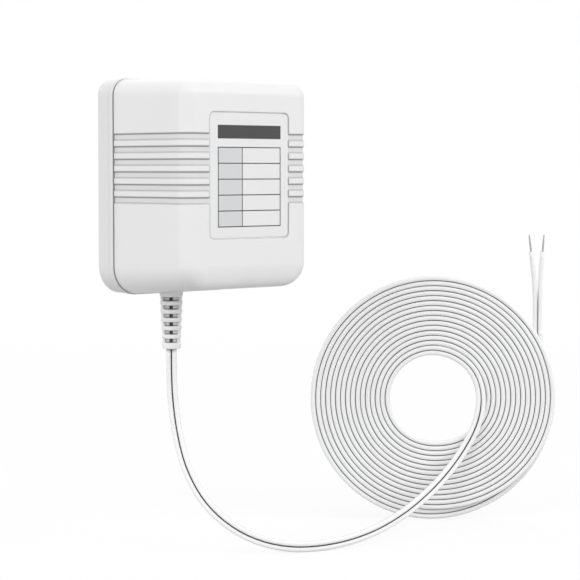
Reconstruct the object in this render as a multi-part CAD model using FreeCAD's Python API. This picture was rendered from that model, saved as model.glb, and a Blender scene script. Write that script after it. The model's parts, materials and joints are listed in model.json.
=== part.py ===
import FreeCAD, Part
import math
import os

from FreeCAD import Vector

# Plug-in doorbell transformer: a two-part moulded housing with plug blades, a laminated
# transformer inside, a slotted strain relief and a flat twin cord wound in a coil.
# Millimetres, +Z up. The origin is on the rear face, midway between the plug blades.
# The front faces -Y and the blades point along +Y.

# Housing
HOUSING_W = 58.0
HOUSING_H = 75.0
HOUSING_D = 47.6
COVER_D = 8.8
BLADE_RISE = 4.0
WALL = 2.5
BACK_WALL = 2.5
FRONT_WALL = 2.6
SIDE_DRAFT = 0.5
TOP_DRAFT = 2.1
LOW_DRAFT = 4.2
TOP_CORNER_R = 5.7
LOW_CORNER_R = 9.7
FRONT_EDGE_R = 5.2
REAR_EDGE_BEVEL = 0.8
RIM_W = 2.1
RIM_PROUD = 0.3
SHADOW_GAP = 0.45
SHADOW_DEPTH = 0.8
LIP_T = 0.9
LIP_H = 2.0
LIP_CLEAR = 0.1

# Grip ribs and label panel
GROOVE_COUNT = 6
GROOVE_H = 2.17
RIDGE_H = 2.17
GROOVE_DEPTH = 0.4
BAND_RISE = 2.4
PANEL_W = 37.0
PANEL_H = 43.3
PANEL_CORNER_R = 2.0
LABEL_MARGIN = 0.5
LABEL_T = 0.2

# Plug blades
BLADE_W = 6.35
BLADE_T = 1.5
BLADE_L = 17.0
BLADE_PITCH = 12.7
BLADE_TIP_L = 3.0
BLADE_TIP_W = 3.9
BLADE_TIP_BEVEL = 0.4
BLADE_HOLE_D = 3.2
BLADE_HOLE_REACH = 11.7
BLADE_FIT = 0.05
SHOULDER_W = 8.6
SHOULDER_L = 1.6
TAB_W = 4.6
TAB_L = 2.8
TAB_ROOM = 2.4

# Laminated core, as large as the housing leaves room for
CORE_SIDE_ROOM = 2.5
CORE_FRONT_ROOM = 2.3
CORE_RISE = 7.0
POST_W = 5.4
POST_INSET = 4.0

# Bobbin, windings and terminals
LEG_FIT = 0.2
BOBBIN_WALL = 0.9
FLANGE_T = 1.2
FLANGE_FIT = 0.3
SECONDARY_H = 9.0
PRIMARY_ROOM = 0.8
SECONDARY_ROOM = 1.2
WINDING_BEVEL = 1.6
TAPE_T = 0.3
RAIL_H = 3.2
RAIL_MARGIN = 3.0
PIN_W = 0.8
PIN_OUT = 4.6
PIN_IN = 3.0
PIN_SPREAD = 16.0

# Inner wiring
FUSE_W = 3.4
FUSE_T = 2.4
FUSE_L = 7.0
FUSE_DROP = 1.3
FUSE_LEAD_L = 1.6
FUSE_LEAD_W = 0.8
MAINS_LEAD_D = 1.3
LEAD_SIDES = 6
ARC_SHARE = 0.45
LEAD_RISE = 1.7
CORE_LEAD_D = 1.8
CORE_LEAD_GAP = 0.05

# Strain relief
RELIEF_SETBACK = 5.4
RELIEF_L = 20.8
RELIEF_TOP_D = 8.5
RELIEF_END_D = 6.8
SLOT_COUNT = 6
SLOT_PITCH = 3.0
SLOT_H = 1.45
FIRST_SLOT = 2.8
RIB_PROUD = 0.3
SIDE_RAIL = 1.1
SIDE_RAIL_DEPTH = 2.8
WEB_T = 1.2
NECK_W = 4.8
NECK_FIT = 0.1
RELIEF_FLANGE_W = 9.0
RELIEF_FLANGE_T = 1.6
CORD_STUB = 6.0

# Flat twin cord. The cord hangs and lies in a frame turned about +Z from the housing.
CORD_W = 3.7
CORD_T = 1.9
CORD_TURN = 43.4
BARE_D = 0.8
BARE_L = 6.6
COIL_CENTRE = (98.2, 54.5, -86.4)
COIL_START_R = 17.0
COIL_PITCH = 3.85
COIL_WHOLE_TURNS = 8
COIL_START_ANGLE = 100.0
COIL_END_ANGLE = 23.0
COIL_ROOM = 1.2

# Route of the lead from the strain relief to the coil: across, behind, up.
LEAD_ROUTE = [
    (0.0, 0.0, -62.3),
    (0.0, 0.0, -69.5),
    (0.3, -0.5, -79.5),
    (1.9, -2.0, -92.5),
    (5.5, -5.0, -106.0),
    (13.5, -8.0, -118.8),
    (26.5, -9.5, -128.0),
    (41.5, -8.0, -132.1),
    (57.0, -3.0, -132.1),
    (71.5, 8.0, -130.3),
    (84.0, 24.0, -127.0),
    (94.0, 38.0, -122.5),
    (102.7, 46.5, -115.5),
    (109.5, 48.9, -107.0),
    (114.1, 49.5, -98.0),
    (116.1, 50.4, -89.1),
    (114.8, 51.4, -80.2),
    (110.6, 52.6, -73.4),
    (104.9, 54.0, -69.75),
    (99.3, 54.5, -68.95),
]
# Route of the tail from the coil up to where the two cores part.
TAIL_ROUTE = [
    (139.7, 54.5, -63.9),
    (138.7, 54.5, -59.0),
    (138.7, 54.5, -54.1),
]
# Each core beyond the tail: straight at first, then across and up at the bend and at the cut insulation.
CORE_STRAIGHT = 7.6
CORE_ENDS = {
    "a": ((137.5, -38.5), (136.8, -29.7)),
    "b": ((140.1, -38.5), (140.9, -29.7)),
}

# Places worked out from the sizes above
Z_TOP = HOUSING_H / 2 - BLADE_RISE
Z_LOW = -HOUSING_H / 2 - BLADE_RISE
PARTING_Y = -COVER_D
SHELL_D = HOUSING_D - COVER_D
FRONT_Y = -HOUSING_D
PANEL_Y = FRONT_Y + GROOVE_DEPTH
# An E and an I lamination are cut from each other without waste, so the leg sets the other widths.
CORE_W = HOUSING_W - 2 * (WALL + CORE_SIDE_ROOM)
LEG_W = CORE_W / 3
WINDOW_W = LEG_W / 2
YOKE_H = LEG_W / 2
WINDOW_H = LEG_W * 3 / 2
CORE_H = WINDOW_H + 2 * YOKE_H
FLANGE_REACH = WINDOW_W - FLANGE_FIT
TAB_END_Y = -(BACK_WALL + SHOULDER_L + TAB_L)
FLANGE_REAR_Y = TAB_END_Y - TAB_ROOM
FLANGE_FRONT_Y = FRONT_Y + FRONT_WALL + CORE_FRONT_ROOM
CORE_REAR_Y = FLANGE_REAR_Y - FLANGE_REACH
CORE_FRONT_Y = FLANGE_FRONT_Y + FLANGE_REACH
STACK = CORE_REAR_Y - CORE_FRONT_Y
CORE_Y = (CORE_REAR_Y + CORE_FRONT_Y) / 2
WINDOW_LOW = CORE_RISE - WINDOW_H / 2
WINDOW_TOP = CORE_RISE + WINDOW_H / 2
TUBE_OUT = LEG_FIT + BOBBIN_WALL
LOW_FLANGE_Z = WINDOW_LOW + FLANGE_FIT
SECONDARY_Z = LOW_FLANGE_Z + FLANGE_T
MID_FLANGE_Z = SECONDARY_Z + SECONDARY_H
PRIMARY_Z = MID_FLANGE_Z + FLANGE_T
TOP_FLANGE_Z = WINDOW_TOP - FLANGE_FIT - FLANGE_T
PRIMARY_H = TOP_FLANGE_Z - PRIMARY_Z
PRIMARY_PIN_Z = TOP_FLANGE_Z + FLANGE_T / 2 + RAIL_H / 2
SECONDARY_PIN_Z = LOW_FLANGE_Z + FLANGE_T / 2 - RAIL_H / 2
LEAD_Y = -(BACK_WALL + SHOULDER_L + TAB_L / 2)
PRIMARY_REAR_Y = CORE_REAR_Y + WINDOW_W - PRIMARY_ROOM
RELIEF_Y = -RELIEF_SETBACK
RELIEF_END_Z = Z_LOW - RELIEF_L
CORE_LEAD_OFFSET = (CORE_LEAD_D + CORE_LEAD_GAP) / 2
COIL_TURNS = COIL_WHOLE_TURNS + (COIL_END_ANGLE - COIL_START_ANGLE) / 360
COIL_END_R = COIL_START_R + COIL_PITCH * COIL_TURNS
SLACK = 1.0


def box(x0, x1, y0, y1, z0, z1):
    """Block between two opposite corners."""
    return Part.makeBox(x1 - x0, y1 - y0, z1 - z0, Vector(x0, y0, z0))


def rounded_rectangle(x0, x1, z0, z1, low_r, top_r, y):
    """Closed outline in a plane across Y, with its own radius for the low and top corners."""
    corners = [
        (x1, z0, -45, low_r),
        (x1, z1, 45, top_r),
        (x0, z1, 135, top_r),
        (x0, z0, 225, low_r),
    ]
    arcs = []
    for x, z, middle, radius in corners:
        centre_x = x - math.copysign(radius, math.cos(math.radians(middle)))
        centre_z = z - math.copysign(radius, math.sin(math.radians(middle)))
        points = []
        for angle in (middle - 45, middle, middle + 45):
            a = math.radians(angle)
            points.append(Vector(centre_x + radius * math.cos(a), y, centre_z + radius * math.sin(a)))
        arcs.append(Part.Arc(*points))
    edges = []
    for here, there in zip(arcs, arcs[1:] + arcs[:1]):
        edges.append(here.toShape())
        edges.append(Part.LineSegment(here.EndPoint, there.StartPoint).toShape())
    return Part.Wire(edges)


def housing_section(depth, inset):
    """Half width, lowest and highest z of the housing at a depth in front of the parting plane."""
    half = HOUSING_W / 2 - depth * math.tan(math.radians(SIDE_DRAFT)) - inset
    low = Z_LOW + depth * math.tan(math.radians(LOW_DRAFT)) + inset
    top = Z_TOP - depth * math.tan(math.radians(TOP_DRAFT)) - inset
    return half, low, top


def rounded_block(y_front, y_rear, front, rear, inset):
    """Block between a front and a rear section, its four long edges rounded."""
    half, low, top = front
    rear_half, rear_low, rear_top = rear
    block = Part.makeWedge(
        -half, y_front, low, rear_low, -rear_half, half, y_rear, top, rear_top, rear_half)
    middle_z = (Z_LOW + Z_TOP) / 2
    for radius, is_low in ((LOW_CORNER_R, True), (TOP_CORNER_R, False)):
        corners = []
        for edge in block.Edges:
            spans_depth = abs(edge.Vertexes[0].Y - edge.Vertexes[-1].Y) > (y_rear - y_front) / 2
            if spans_depth and (edge.CenterOfMass.z < middle_z) == is_low:
                corners.append(edge)
        block = block.makeFillet(radius - inset, corners)
    return block


def straight_block(y_front, y_rear, inset):
    """Undrafted block with the section of the parting plane, drawn in by inset all round."""
    section = housing_section(0.0, inset)
    return rounded_block(y_front, y_rear, section, section, inset)


def drafted_block(depth, inset):
    """Drafted block from the parting plane to a depth in front of it, drawn in by inset all round."""
    return rounded_block(
        PARTING_Y - depth, PARTING_Y, housing_section(depth, inset), housing_section(0.0, inset), inset)


def edges_at_y(shape, y):
    """Edges that lie wholly in the plane at y."""
    found = []
    for edge in shape.Edges:
        if all(abs(vertex.Y - y) < 1e-6 for vertex in edge.Vertexes):
            found.append(edge)
    return found


def moulded_body(inset):
    """Front half of the housing as a block with its rounded front edge, drawn in by inset."""
    depth = SHELL_D - inset
    block = drafted_block(depth, inset)
    return block.makeFillet(FRONT_EDGE_R - inset, edges_at_y(block, PARTING_Y - depth))


def post(x, z, y_front, y_rear):
    """Square post along Y that bears on the core."""
    half = POST_W / 2
    return box(x - half, x + half, y_front, y_rear, z - half, z + half)


def core_posts(y_front, y_rear):
    """Four posts over the corners of the core."""
    reach_x = CORE_W / 2 - POST_INSET
    reach_z = CORE_H / 2 - POST_INSET
    return [post(sx * reach_x, CORE_RISE + sz * reach_z, y_front, y_rear)
            for sx in (-1, 1) for sz in (-1, 1)]


def make_front_shell():
    """Hollow front half with wrapped grip ribs, a sunk label panel and posts over the core."""
    outer = moulded_body(0.0)
    cavity = drafted_block(SHELL_D - FRONT_WALL, WALL)
    rabbet = straight_block(PARTING_Y - LIP_H - LIP_CLEAR, PARTING_Y, WALL - LIP_T - LIP_CLEAR)
    gap_y = PARTING_Y - SHADOW_GAP
    shadow = straight_block(gap_y, PARTING_Y, -SLACK).cut(straight_block(gap_y, PARTING_Y, SHADOW_DEPTH))
    skin = outer.cut(moulded_body(GROOVE_DEPTH))
    pitch = GROOVE_H + RIDGE_H
    band_low = BAND_RISE - (GROOVE_COUNT * pitch - RIDGE_H) / 2
    slabs = []
    for index in range(GROOVE_COUNT):
        z = band_low + index * pitch
        slabs.append(box(-HOUSING_W, HOUSING_W, 2 * FRONT_Y, 0.0, z, z + GROOVE_H))
    grooves = skin.common(Part.makeCompound(slabs))
    panel_outline = rounded_rectangle(
        -PANEL_W / 2, PANEL_W / 2, -PANEL_H / 2, PANEL_H / 2, PANEL_CORNER_R, PANEL_CORNER_R, PANEL_Y)
    panel = Part.Face(panel_outline).extrude(Vector(0, -(GROOVE_DEPTH + SLACK), 0))
    shell = outer.cut([cavity, rabbet, shadow, grooves, panel])
    return shell.fuse(core_posts(FRONT_Y + FRONT_WALL - SLACK, CORE_FRONT_Y)).removeSplitter()


def relief_neck(width, z0, z1):
    """Neck of the strain relief: round at the rear and open to the parting plane in front."""
    radius = width / 2
    round_end = Part.makeCylinder(radius, z1 - z0, Vector(0, RELIEF_Y, z0))
    return round_end.fuse(box(-radius, radius, PARTING_Y, RELIEF_Y, z0, z1)).removeSplitter()


def make_rear_cover():
    """Rear tray with the blade slots, a lip that enters the front shell and posts behind the core."""
    block = straight_block(PARTING_Y, 0.0, 0.0)
    block = block.makeChamfer(REAR_EDGE_BEVEL, edges_at_y(block, 0.0))
    rim = straight_block(PARTING_Y, PARTING_Y + RIM_W, -RIM_PROUD)
    lip = straight_block(PARTING_Y - LIP_H, PARTING_Y, WALL - LIP_T)
    pocket = straight_block(PARTING_Y - LIP_H, -BACK_WALL, WALL)
    cover = block.fuse([rim, lip]).cut(pocket)
    cover = cover.fuse(core_posts(CORE_REAR_Y, -BACK_WALL + SLACK))
    slot_z = BLADE_W / 2 + BLADE_FIT
    for side in (-1, 1):
        centre = side * BLADE_PITCH / 2
        slot_x = BLADE_T / 2 + BLADE_FIT
        cover = cover.cut(box(centre - slot_x, centre + slot_x, -BACK_WALL, SLACK, -slot_z, slot_z))
    cover = cover.cut(relief_neck(NECK_W + 2 * NECK_FIT, Z_LOW - SLACK, Z_LOW + WALL + SLACK))
    half_gap = RELIEF_FLANGE_W / 2 + NECK_FIT
    cover = cover.cut(box(-half_gap, half_gap, PARTING_Y - LIP_H, PARTING_Y, Z_LOW, Z_LOW + 2 * WALL))
    seat_h = 2 * RIM_PROUD
    seat = Part.makeCylinder(RELIEF_TOP_D / 2 + NECK_FIT, seat_h, Vector(0, RELIEF_Y, Z_LOW - seat_h))
    return cover.cut(seat).removeSplitter()


def make_rating_label():
    """Thin label on the floor of the sunk panel."""
    half_w = PANEL_W / 2 - LABEL_MARGIN
    half_h = PANEL_H / 2 - LABEL_MARGIN
    radius = PANEL_CORNER_R - LABEL_MARGIN
    outline = rounded_rectangle(-half_w, half_w, -half_h, half_h, radius, radius, PANEL_Y)
    return Part.Face(outline).extrude(Vector(0, -LABEL_T, 0))


def make_blade(side):
    """Flat plug blade with its cross hole, a shoulder behind the wall and a solder tab."""
    half_profile = [
        (TAB_END_Y, TAB_W / 2),
        (-(BACK_WALL + SHOULDER_L), TAB_W / 2),
        (-(BACK_WALL + SHOULDER_L), SHOULDER_W / 2),
        (-BACK_WALL, SHOULDER_W / 2),
        (-BACK_WALL, BLADE_W / 2),
        (BLADE_L - BLADE_TIP_L, BLADE_W / 2),
        (BLADE_L, BLADE_TIP_W / 2),
    ]
    x = side * BLADE_PITCH / 2 - BLADE_T / 2
    upper = [Vector(x, y, z) for y, z in half_profile]
    lower = [Vector(x, y, -z) for y, z in reversed(half_profile)]
    blade = Part.Face(Part.makePolygon(upper + lower + upper[:1])).extrude(Vector(BLADE_T, 0, 0))
    blade = blade.makeChamfer(BLADE_TIP_BEVEL, [
        edge for edge in edges_at_y(blade, BLADE_L) if abs(edge.tangentAt(edge.FirstParameter).z) > 0.5])
    hole = Part.makeCylinder(BLADE_HOLE_D / 2, BLADE_T, Vector(x, BLADE_HOLE_REACH, 0), Vector(1, 0, 0))
    return blade.cut(hole)


def make_core_e_stack():
    """Stacked E laminations: a yoke on top with three legs down to the joint."""
    joint_z = WINDOW_LOW
    block = box(-CORE_W / 2, CORE_W / 2, CORE_FRONT_Y, CORE_REAR_Y, joint_z, WINDOW_TOP + YOKE_H)
    windows = []
    for side in (-1, 1):
        inner = side * LEG_W / 2
        outer = side * (LEG_W / 2 + WINDOW_W)
        windows.append(box(
            min(inner, outer), max(inner, outer), CORE_FRONT_Y, CORE_REAR_Y, joint_z, WINDOW_TOP))
    return block.cut(windows)


def make_core_i_stack():
    """Stacked I laminations that close the legs below."""
    return box(-CORE_W / 2, CORE_W / 2, CORE_FRONT_Y, CORE_REAR_Y, WINDOW_LOW - YOKE_H, WINDOW_LOW)


def leg_ring(inner, outer, z0, z1, bevel):
    """Ring round the middle leg between two distances from it."""
    def ring_block(reach):
        half_x = LEG_W / 2 + reach
        half_y = STACK / 2 + reach
        return box(-half_x, half_x, CORE_Y - half_y, CORE_Y + half_y, z0, z1)
    block = ring_block(outer)
    if bevel > 0:
        upright = [edge for edge in block.Edges if abs(edge.tangentAt(edge.FirstParameter).z) > 0.5]
        block = block.makeChamfer(bevel, upright)
    return block.cut(ring_block(inner))


def terminal_pins(z):
    """Two square pins that stand out behind a rail of the bobbin."""
    half = PIN_W / 2
    pins = []
    for side in (-1, 1):
        x = side * PIN_SPREAD / 2
        pins.append(box(
            x - half, x + half, FLANGE_REAR_Y - PIN_IN, FLANGE_REAR_Y + PIN_OUT, z - half, z + half))
    return Part.makeCompound(pins)


def make_bobbin():
    """Two-chamber bobbin: a tube on the middle leg, three flanges and two terminal rails."""
    tube = leg_ring(LEG_FIT, TUBE_OUT, LOW_FLANGE_Z, TOP_FLANGE_Z + FLANGE_T, 0.0)
    flanges = [leg_ring(LEG_FIT, FLANGE_REACH, z, z + FLANGE_T, 0.0)
               for z in (LOW_FLANGE_Z, MID_FLANGE_Z, TOP_FLANGE_Z)]
    half = PIN_SPREAD / 2 + RAIL_MARGIN
    rails = []
    for z in (PRIMARY_PIN_Z, SECONDARY_PIN_Z):
        rails.append(box(
            -half, half, CORE_REAR_Y + FLANGE_FIT, FLANGE_REAR_Y, z - RAIL_H / 2, z + RAIL_H / 2))
    body = tube.fuse(flanges + rails).removeSplitter()
    return body.cut([terminal_pins(PRIMARY_PIN_Z), terminal_pins(SECONDARY_PIN_Z)])


def make_winding(z, height, room):
    """Wound copper between two flanges, up to its tape."""
    return leg_ring(TUBE_OUT, WINDOW_W - room - TAPE_T, z, z + height, WINDING_BEVEL)


def make_tape(z, height, room):
    """Tape round a winding, as thick on its bevelled corners as on its sides."""
    outer_bevel = WINDING_BEVEL + TAPE_T * (2 - math.sqrt(2))
    outer = leg_ring(TUBE_OUT, WINDOW_W - room, z, z + height, outer_bevel)
    return outer.cut(make_winding(z, height, room))


def round_path(points, label):
    """Straight runs joined by tangent arcs, each taking up to a fixed share of its shorter run."""
    edges = []
    radii = []
    at = points[0]
    for before, corner, after in zip(points, points[1:], points[2:]):
        back = (before - corner).normalize()
        onward = (after - corner).normalize()
        half_turn = (math.pi - back.getAngle(onward)) / 2
        cut = ARC_SHARE * min((before - corner).Length, (after - corner).Length)
        radius = cut / math.tan(half_turn)
        inward = (back + onward).normalize()
        middle = corner + inward * (radius / math.cos(half_turn) - radius)
        arc = Part.Arc(corner + back * cut, middle, corner + onward * cut)
        edges.append(Part.LineSegment(at, arc.StartPoint).toShape())
        edges.append(arc.toShape())
        at = arc.EndPoint
        radii.append(round(radius, 1))
    edges.append(Part.LineSegment(at, points[-1]).toShape())
    print(label, "radii", radii)
    return Part.Wire(edges)


def sweep(path, section, label):
    """Solid of a flat closed section carried along a path, with its volume set against the length."""
    tube = path.makePipe(Part.Face(section))
    expected = Part.Face(section).Area * path.Length
    print(label, "length", round(path.Length, 1), "volume ratio", round(tube.Volume / expected, 4))
    return tube


def lead_section(at, onward, diameter):
    """Section of a slim lead: a polygon with its corners on the lead's diameter."""
    circle = Part.Circle(at, onward, diameter / 2)
    corners = [circle.value(2 * math.pi * index / LEAD_SIDES) for index in range(LEAD_SIDES)]
    return Part.makePolygon(corners + corners[:1])


def wire_lead(points, diameter, label):
    """Slim lead through the given points."""
    section = lead_section(points[0], points[1] - points[0], diameter)
    return sweep(round_path(points, label), section, label)


def make_thermal_fuse():
    """Box-shaped thermal fuse on the primary's tape, with a lead up to its pin and one down."""
    x = PIN_SPREAD / 2
    top = TOP_FLANGE_Z - FUSE_DROP
    low = top - FUSE_L
    body = box(x - FUSE_W / 2, x + FUSE_W / 2, PRIMARY_REAR_Y, PRIMARY_REAR_Y + FUSE_T, low, top)
    half = FUSE_LEAD_W / 2
    middle = PRIMARY_REAR_Y + FUSE_T / 2
    lead = box(
        x - half, x + half, middle - half, middle + half, low - FUSE_LEAD_L, PRIMARY_PIN_Z - PIN_W / 2)
    return body.fuse(lead).removeSplitter()


def make_line_lead():
    """Short lead from the right blade's tab to the lower end of the thermal fuse."""
    blade_x = BLADE_PITCH / 2
    fuse_x = PIN_SPREAD / 2
    fuse_y = PRIMARY_REAR_Y + FUSE_T / 2
    start_z = TAB_W / 2
    end_z = TOP_FLANGE_Z - FUSE_DROP - FUSE_L - FUSE_LEAD_L
    return wire_lead([
        Vector(blade_x, LEAD_Y, start_z),
        Vector(blade_x, LEAD_Y, start_z + LEAD_RISE),
        Vector(fuse_x, fuse_y, end_z - LEAD_RISE),
        Vector(fuse_x, fuse_y, end_z),
    ], MAINS_LEAD_D, "line lead")


def make_neutral_lead():
    """Lead from the left blade's tab up to its primary pin."""
    blade_x = -BLADE_PITCH / 2
    pin_x = -PIN_SPREAD / 2
    pin_y = FLANGE_REAR_Y + PIN_OUT / 2
    start_z = TAB_W / 2
    end_z = PRIMARY_PIN_Z - PIN_W / 2
    return wire_lead([
        Vector(blade_x, LEAD_Y, start_z),
        Vector(blade_x, LEAD_Y, start_z + 2 * LEAD_RISE),
        Vector(pin_x, pin_y, end_z - 2 * LEAD_RISE),
        Vector(pin_x, pin_y, end_z),
    ], MAINS_LEAD_D, "neutral lead")


def cord_point(across, behind, up):
    """Place in the cord's frame: across it, behind the strain relief's plane, and height."""
    turn = math.radians(CORD_TURN)
    x = across * math.cos(turn) + behind * math.sin(turn)
    y = RELIEF_Y - across * math.sin(turn) + behind * math.cos(turn)
    return Vector(x, y, up)


CORD_ACROSS = cord_point(1, 0, 0) - cord_point(0, 0, 0)
CORD_BEHIND = cord_point(0, 1, 0) - cord_point(0, 0, 0)


def make_output_lead(side):
    """One core of the cord, from the cord's inner end up to its secondary pin."""
    start_z = Z_LOW + WALL + RELIEF_FLANGE_T + CORD_STUB
    start = cord_point(side * CORE_LEAD_OFFSET, 0, start_z)
    pin_x = side * PIN_SPREAD / 2
    pin_y = FLANGE_REAR_Y + PIN_OUT / 2
    end_z = SECONDARY_PIN_Z - PIN_W / 2
    rise = (end_z - start_z) / 4
    return wire_lead([
        start,
        start + Vector(0, 0, rise),
        Vector(pin_x, pin_y, end_z - rise),
        Vector(pin_x, pin_y, end_z),
    ], CORE_LEAD_D, "output lead")


def cord_section(at, onward):
    """Plain flat section of the cord, its broad side across the cord's frame."""
    broad = CORD_BEHIND.cross(onward).normalize() * (CORD_W / 2)
    thin = broad.cross(onward).normalize() * (CORD_T / 2)
    points = [at + broad + thin, at - broad + thin, at - broad - thin, at + broad - thin]
    return Part.makePolygon(points + points[:1])


def make_cord_stub():
    """Inner end of the flat cord, through the strain relief and into the housing."""
    top_z = Z_LOW + WALL + RELIEF_FLANGE_T + CORD_STUB
    section = cord_section(cord_point(0, 0, RELIEF_END_Z), Vector(0, 0, -1))
    return Part.Face(section).extrude(Vector(0, 0, top_z - RELIEF_END_Z))


def relief_radius(drop):
    """Outer radius of the strain relief at a drop below the housing."""
    return (RELIEF_TOP_D + (RELIEF_END_D - RELIEF_TOP_D) * drop / RELIEF_L) / 2


def make_strain_relief():
    """Tapering row of ribs on side rails and webs, with the cord's passage, a neck and an inner flange."""
    edges = [0.0]
    for index in range(SLOT_COUNT):
        centre = FIRST_SLOT + index * SLOT_PITCH
        edges += [centre - SLOT_H / 2, centre + SLOT_H / 2]
    edges.append(RELIEF_L)
    pieces = []
    for start, end in zip(edges[0::2], edges[1::2]):
        pieces.append(Part.makeCylinder(relief_radius((start + end) / 2), end - start, Vector(0, 0, -end)))
    half_depth = SIDE_RAIL_DEPTH / 2
    for start, end in zip(edges[1:-1:2], edges[2:-1:2]):
        rail_out = relief_radius((start + end) / 2) - RIB_PROUD
        rail_in = rail_out - SIDE_RAIL
        for x0, x1 in ((-rail_out, -rail_in), (rail_in, rail_out)):
            pieces.append(box(x0, x1, -half_depth, half_depth, -end, -start))
        pieces.append(box(-rail_in, rail_in, -WEB_T / 2, WEB_T / 2, -end, -start))
    sleeve = pieces[0].fuse(pieces[1:])
    sleeve.rotate(Vector(), Vector(0, 0, 1), -CORD_TURN)
    sleeve.translate(Vector(0, RELIEF_Y, Z_LOW))
    flange_z = Z_LOW + WALL
    flange = box(
        -RELIEF_FLANGE_W / 2, RELIEF_FLANGE_W / 2, PARTING_Y + NECK_FIT, -BACK_WALL - NECK_FIT,
        flange_z, flange_z + RELIEF_FLANGE_T)
    body = sleeve.fuse([relief_neck(NECK_W, Z_LOW, flange_z), flange]).removeSplitter()
    return body.cut(make_cord_stub())


def coil_point(radius, angle):
    """Place in the coil's middle plane at a radius and an angle from the across direction."""
    across, behind, up = COIL_CENTRE
    a = math.radians(angle)
    return cord_point(across + radius * math.cos(a), behind, up + radius * math.sin(a))


def make_cord_tube(route, label):
    """Plain tube of the cord along a route of points in the cord's frame."""
    section = cord_section(route[0], route[1] - route[0])
    return sweep(round_path(route, label), section, label)


def make_cord_lead():
    """Lead from the strain relief down to the floor and across the coil to its first turn."""
    route = [cord_point(*point) for point in LEAD_ROUTE]
    route.append(coil_point(COIL_START_R, COIL_START_ANGLE))
    return make_cord_tube(route, "cord lead")


def make_cord_tail():
    """Tail from the coil's last turn up to where the two cores part."""
    route = [coil_point(COIL_END_R, COIL_END_ANGLE)]
    route += [cord_point(*point) for point in TAIL_ROUTE]
    return make_cord_tube(route, "cord tail")


def spiral_turn(radius, growth, angle):
    """One turn of a spiral as two half circles, from a radius at an angle to that radius plus growth."""
    ray = Vector(math.cos(math.radians(angle)), math.sin(math.radians(angle)), 0)
    edges = []
    for half in (0, 1):
        centre = ray * (growth / 4 * (-1 if half == 0 else 1))
        arc_r = radius + growth / 4 + half * growth / 2
        points = []
        for step in (0, 90, 180):
            a = math.radians(angle + 180 * half + step)
            points.append(centre + Vector(math.cos(a), math.sin(a), 0) * arc_r)
        edges.append(Part.Arc(*points).toShape())
    edges.append(Part.LineSegment(ray * (radius + growth), ray * radius).toShape())
    return Part.Wire(edges)


def make_cord_coil():
    """Outer form of the wound coil: a flat disc between two spiral edges, each with one step."""
    outer = spiral_turn(COIL_END_R - COIL_PITCH / 2, COIL_PITCH, COIL_END_ANGLE)
    inner = spiral_turn(COIL_START_R - COIL_PITCH / 2, COIL_PITCH + COIL_ROOM, COIL_START_ANGLE)
    disc = Part.Face(outer).extrude(Vector(0, 0, CORD_T))
    disc = disc.cut(Part.Face(inner).extrude(Vector(0, 0, CORD_T)))
    disc.translate(Vector(0, 0, -CORD_T / 2))
    centre = cord_point(*COIL_CENTRE)
    turned = FreeCAD.Matrix(
        CORD_ACROSS.x, 0, -CORD_BEHIND.x, centre.x,
        CORD_ACROSS.y, 0, -CORD_BEHIND.y, centre.y,
        0, 1, 0, centre.z,
        0, 0, 0, 1)
    return disc.transformGeometry(turned)


def core_end_points(name):
    """Start, first bend, second bend and cut end of one free core of the cord."""
    side = -1 if name == "a" else 1
    across, behind, up = TAIL_ROUTE[-1]
    start = across + side * CORE_LEAD_OFFSET
    bend, end = CORE_ENDS[name]
    return [
        cord_point(start, behind, up),
        cord_point(start, behind, up + CORE_STRAIGHT),
        cord_point(bend[0], behind, bend[1]),
        cord_point(end[0], behind, end[1]),
    ]


def make_core_end(name):
    """One insulated core beyond the point where the cord is split."""
    return wire_lead(core_end_points(name), CORE_LEAD_D, "core end " + name)


def make_bare_end(name):
    """Stripped conductor that stands out of one core's insulation."""
    bend, end = core_end_points(name)[2:]
    onward = (end - bend).normalize()
    return Part.Face(lead_section(end, onward, BARE_D)).extrude(onward * BARE_L)


def build_all():
    """Every node of the transformer by name."""
    nodes = {
        "front_shell": make_front_shell(),
        "rear_cover": make_rear_cover(),
        "rating_label": make_rating_label(),
        "left_blade": make_blade(-1),
        "right_blade": make_blade(1),
        "core_e_stack": make_core_e_stack(),
        "core_i_stack": make_core_i_stack(),
        "bobbin": make_bobbin(),
        "primary_winding": make_winding(PRIMARY_Z, PRIMARY_H, PRIMARY_ROOM),
        "secondary_winding": make_winding(SECONDARY_Z, SECONDARY_H, SECONDARY_ROOM),
        "primary_tape": make_tape(PRIMARY_Z, PRIMARY_H, PRIMARY_ROOM),
        "secondary_tape": make_tape(SECONDARY_Z, SECONDARY_H, SECONDARY_ROOM),
        "primary_pins": terminal_pins(PRIMARY_PIN_Z),
        "secondary_pins": terminal_pins(SECONDARY_PIN_Z),
        "thermal_fuse": make_thermal_fuse(),
        "line_lead": make_line_lead(),
        "neutral_lead": make_neutral_lead(),
        "output_lead_a": make_output_lead(-1),
        "output_lead_b": make_output_lead(1),
        "strain_relief": make_strain_relief(),
        "cord_stub": make_cord_stub(),
        "cord_lead": make_cord_lead(),
        "cord_coil": make_cord_coil(),
        "cord_tail": make_cord_tail(),
    }
    for name in CORE_ENDS:
        nodes["core_end_" + name] = make_core_end(name)
        nodes["bare_end_" + name] = make_bare_end(name)
    return nodes


os.makedirs("parts", exist_ok=True)
for node, shape in build_all().items():
    shape.exportStep("parts/" + node + ".step")
    print(node, "valid" if shape.isValid() else "NOT VALID", len(shape.Solids), round(shape.Volume, 1))
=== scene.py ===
"""Dressed model of a plug-in doorbell transformer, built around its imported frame.

Sizes in the classes are millimetres in the part's own frame: +Z is up, the front faces -Y and the
plug blades point along +Y. Meshes are written in metres.
"""

import json
import logging
from dataclasses import dataclass
from enum import Enum
from typing import Optional, Union

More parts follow.
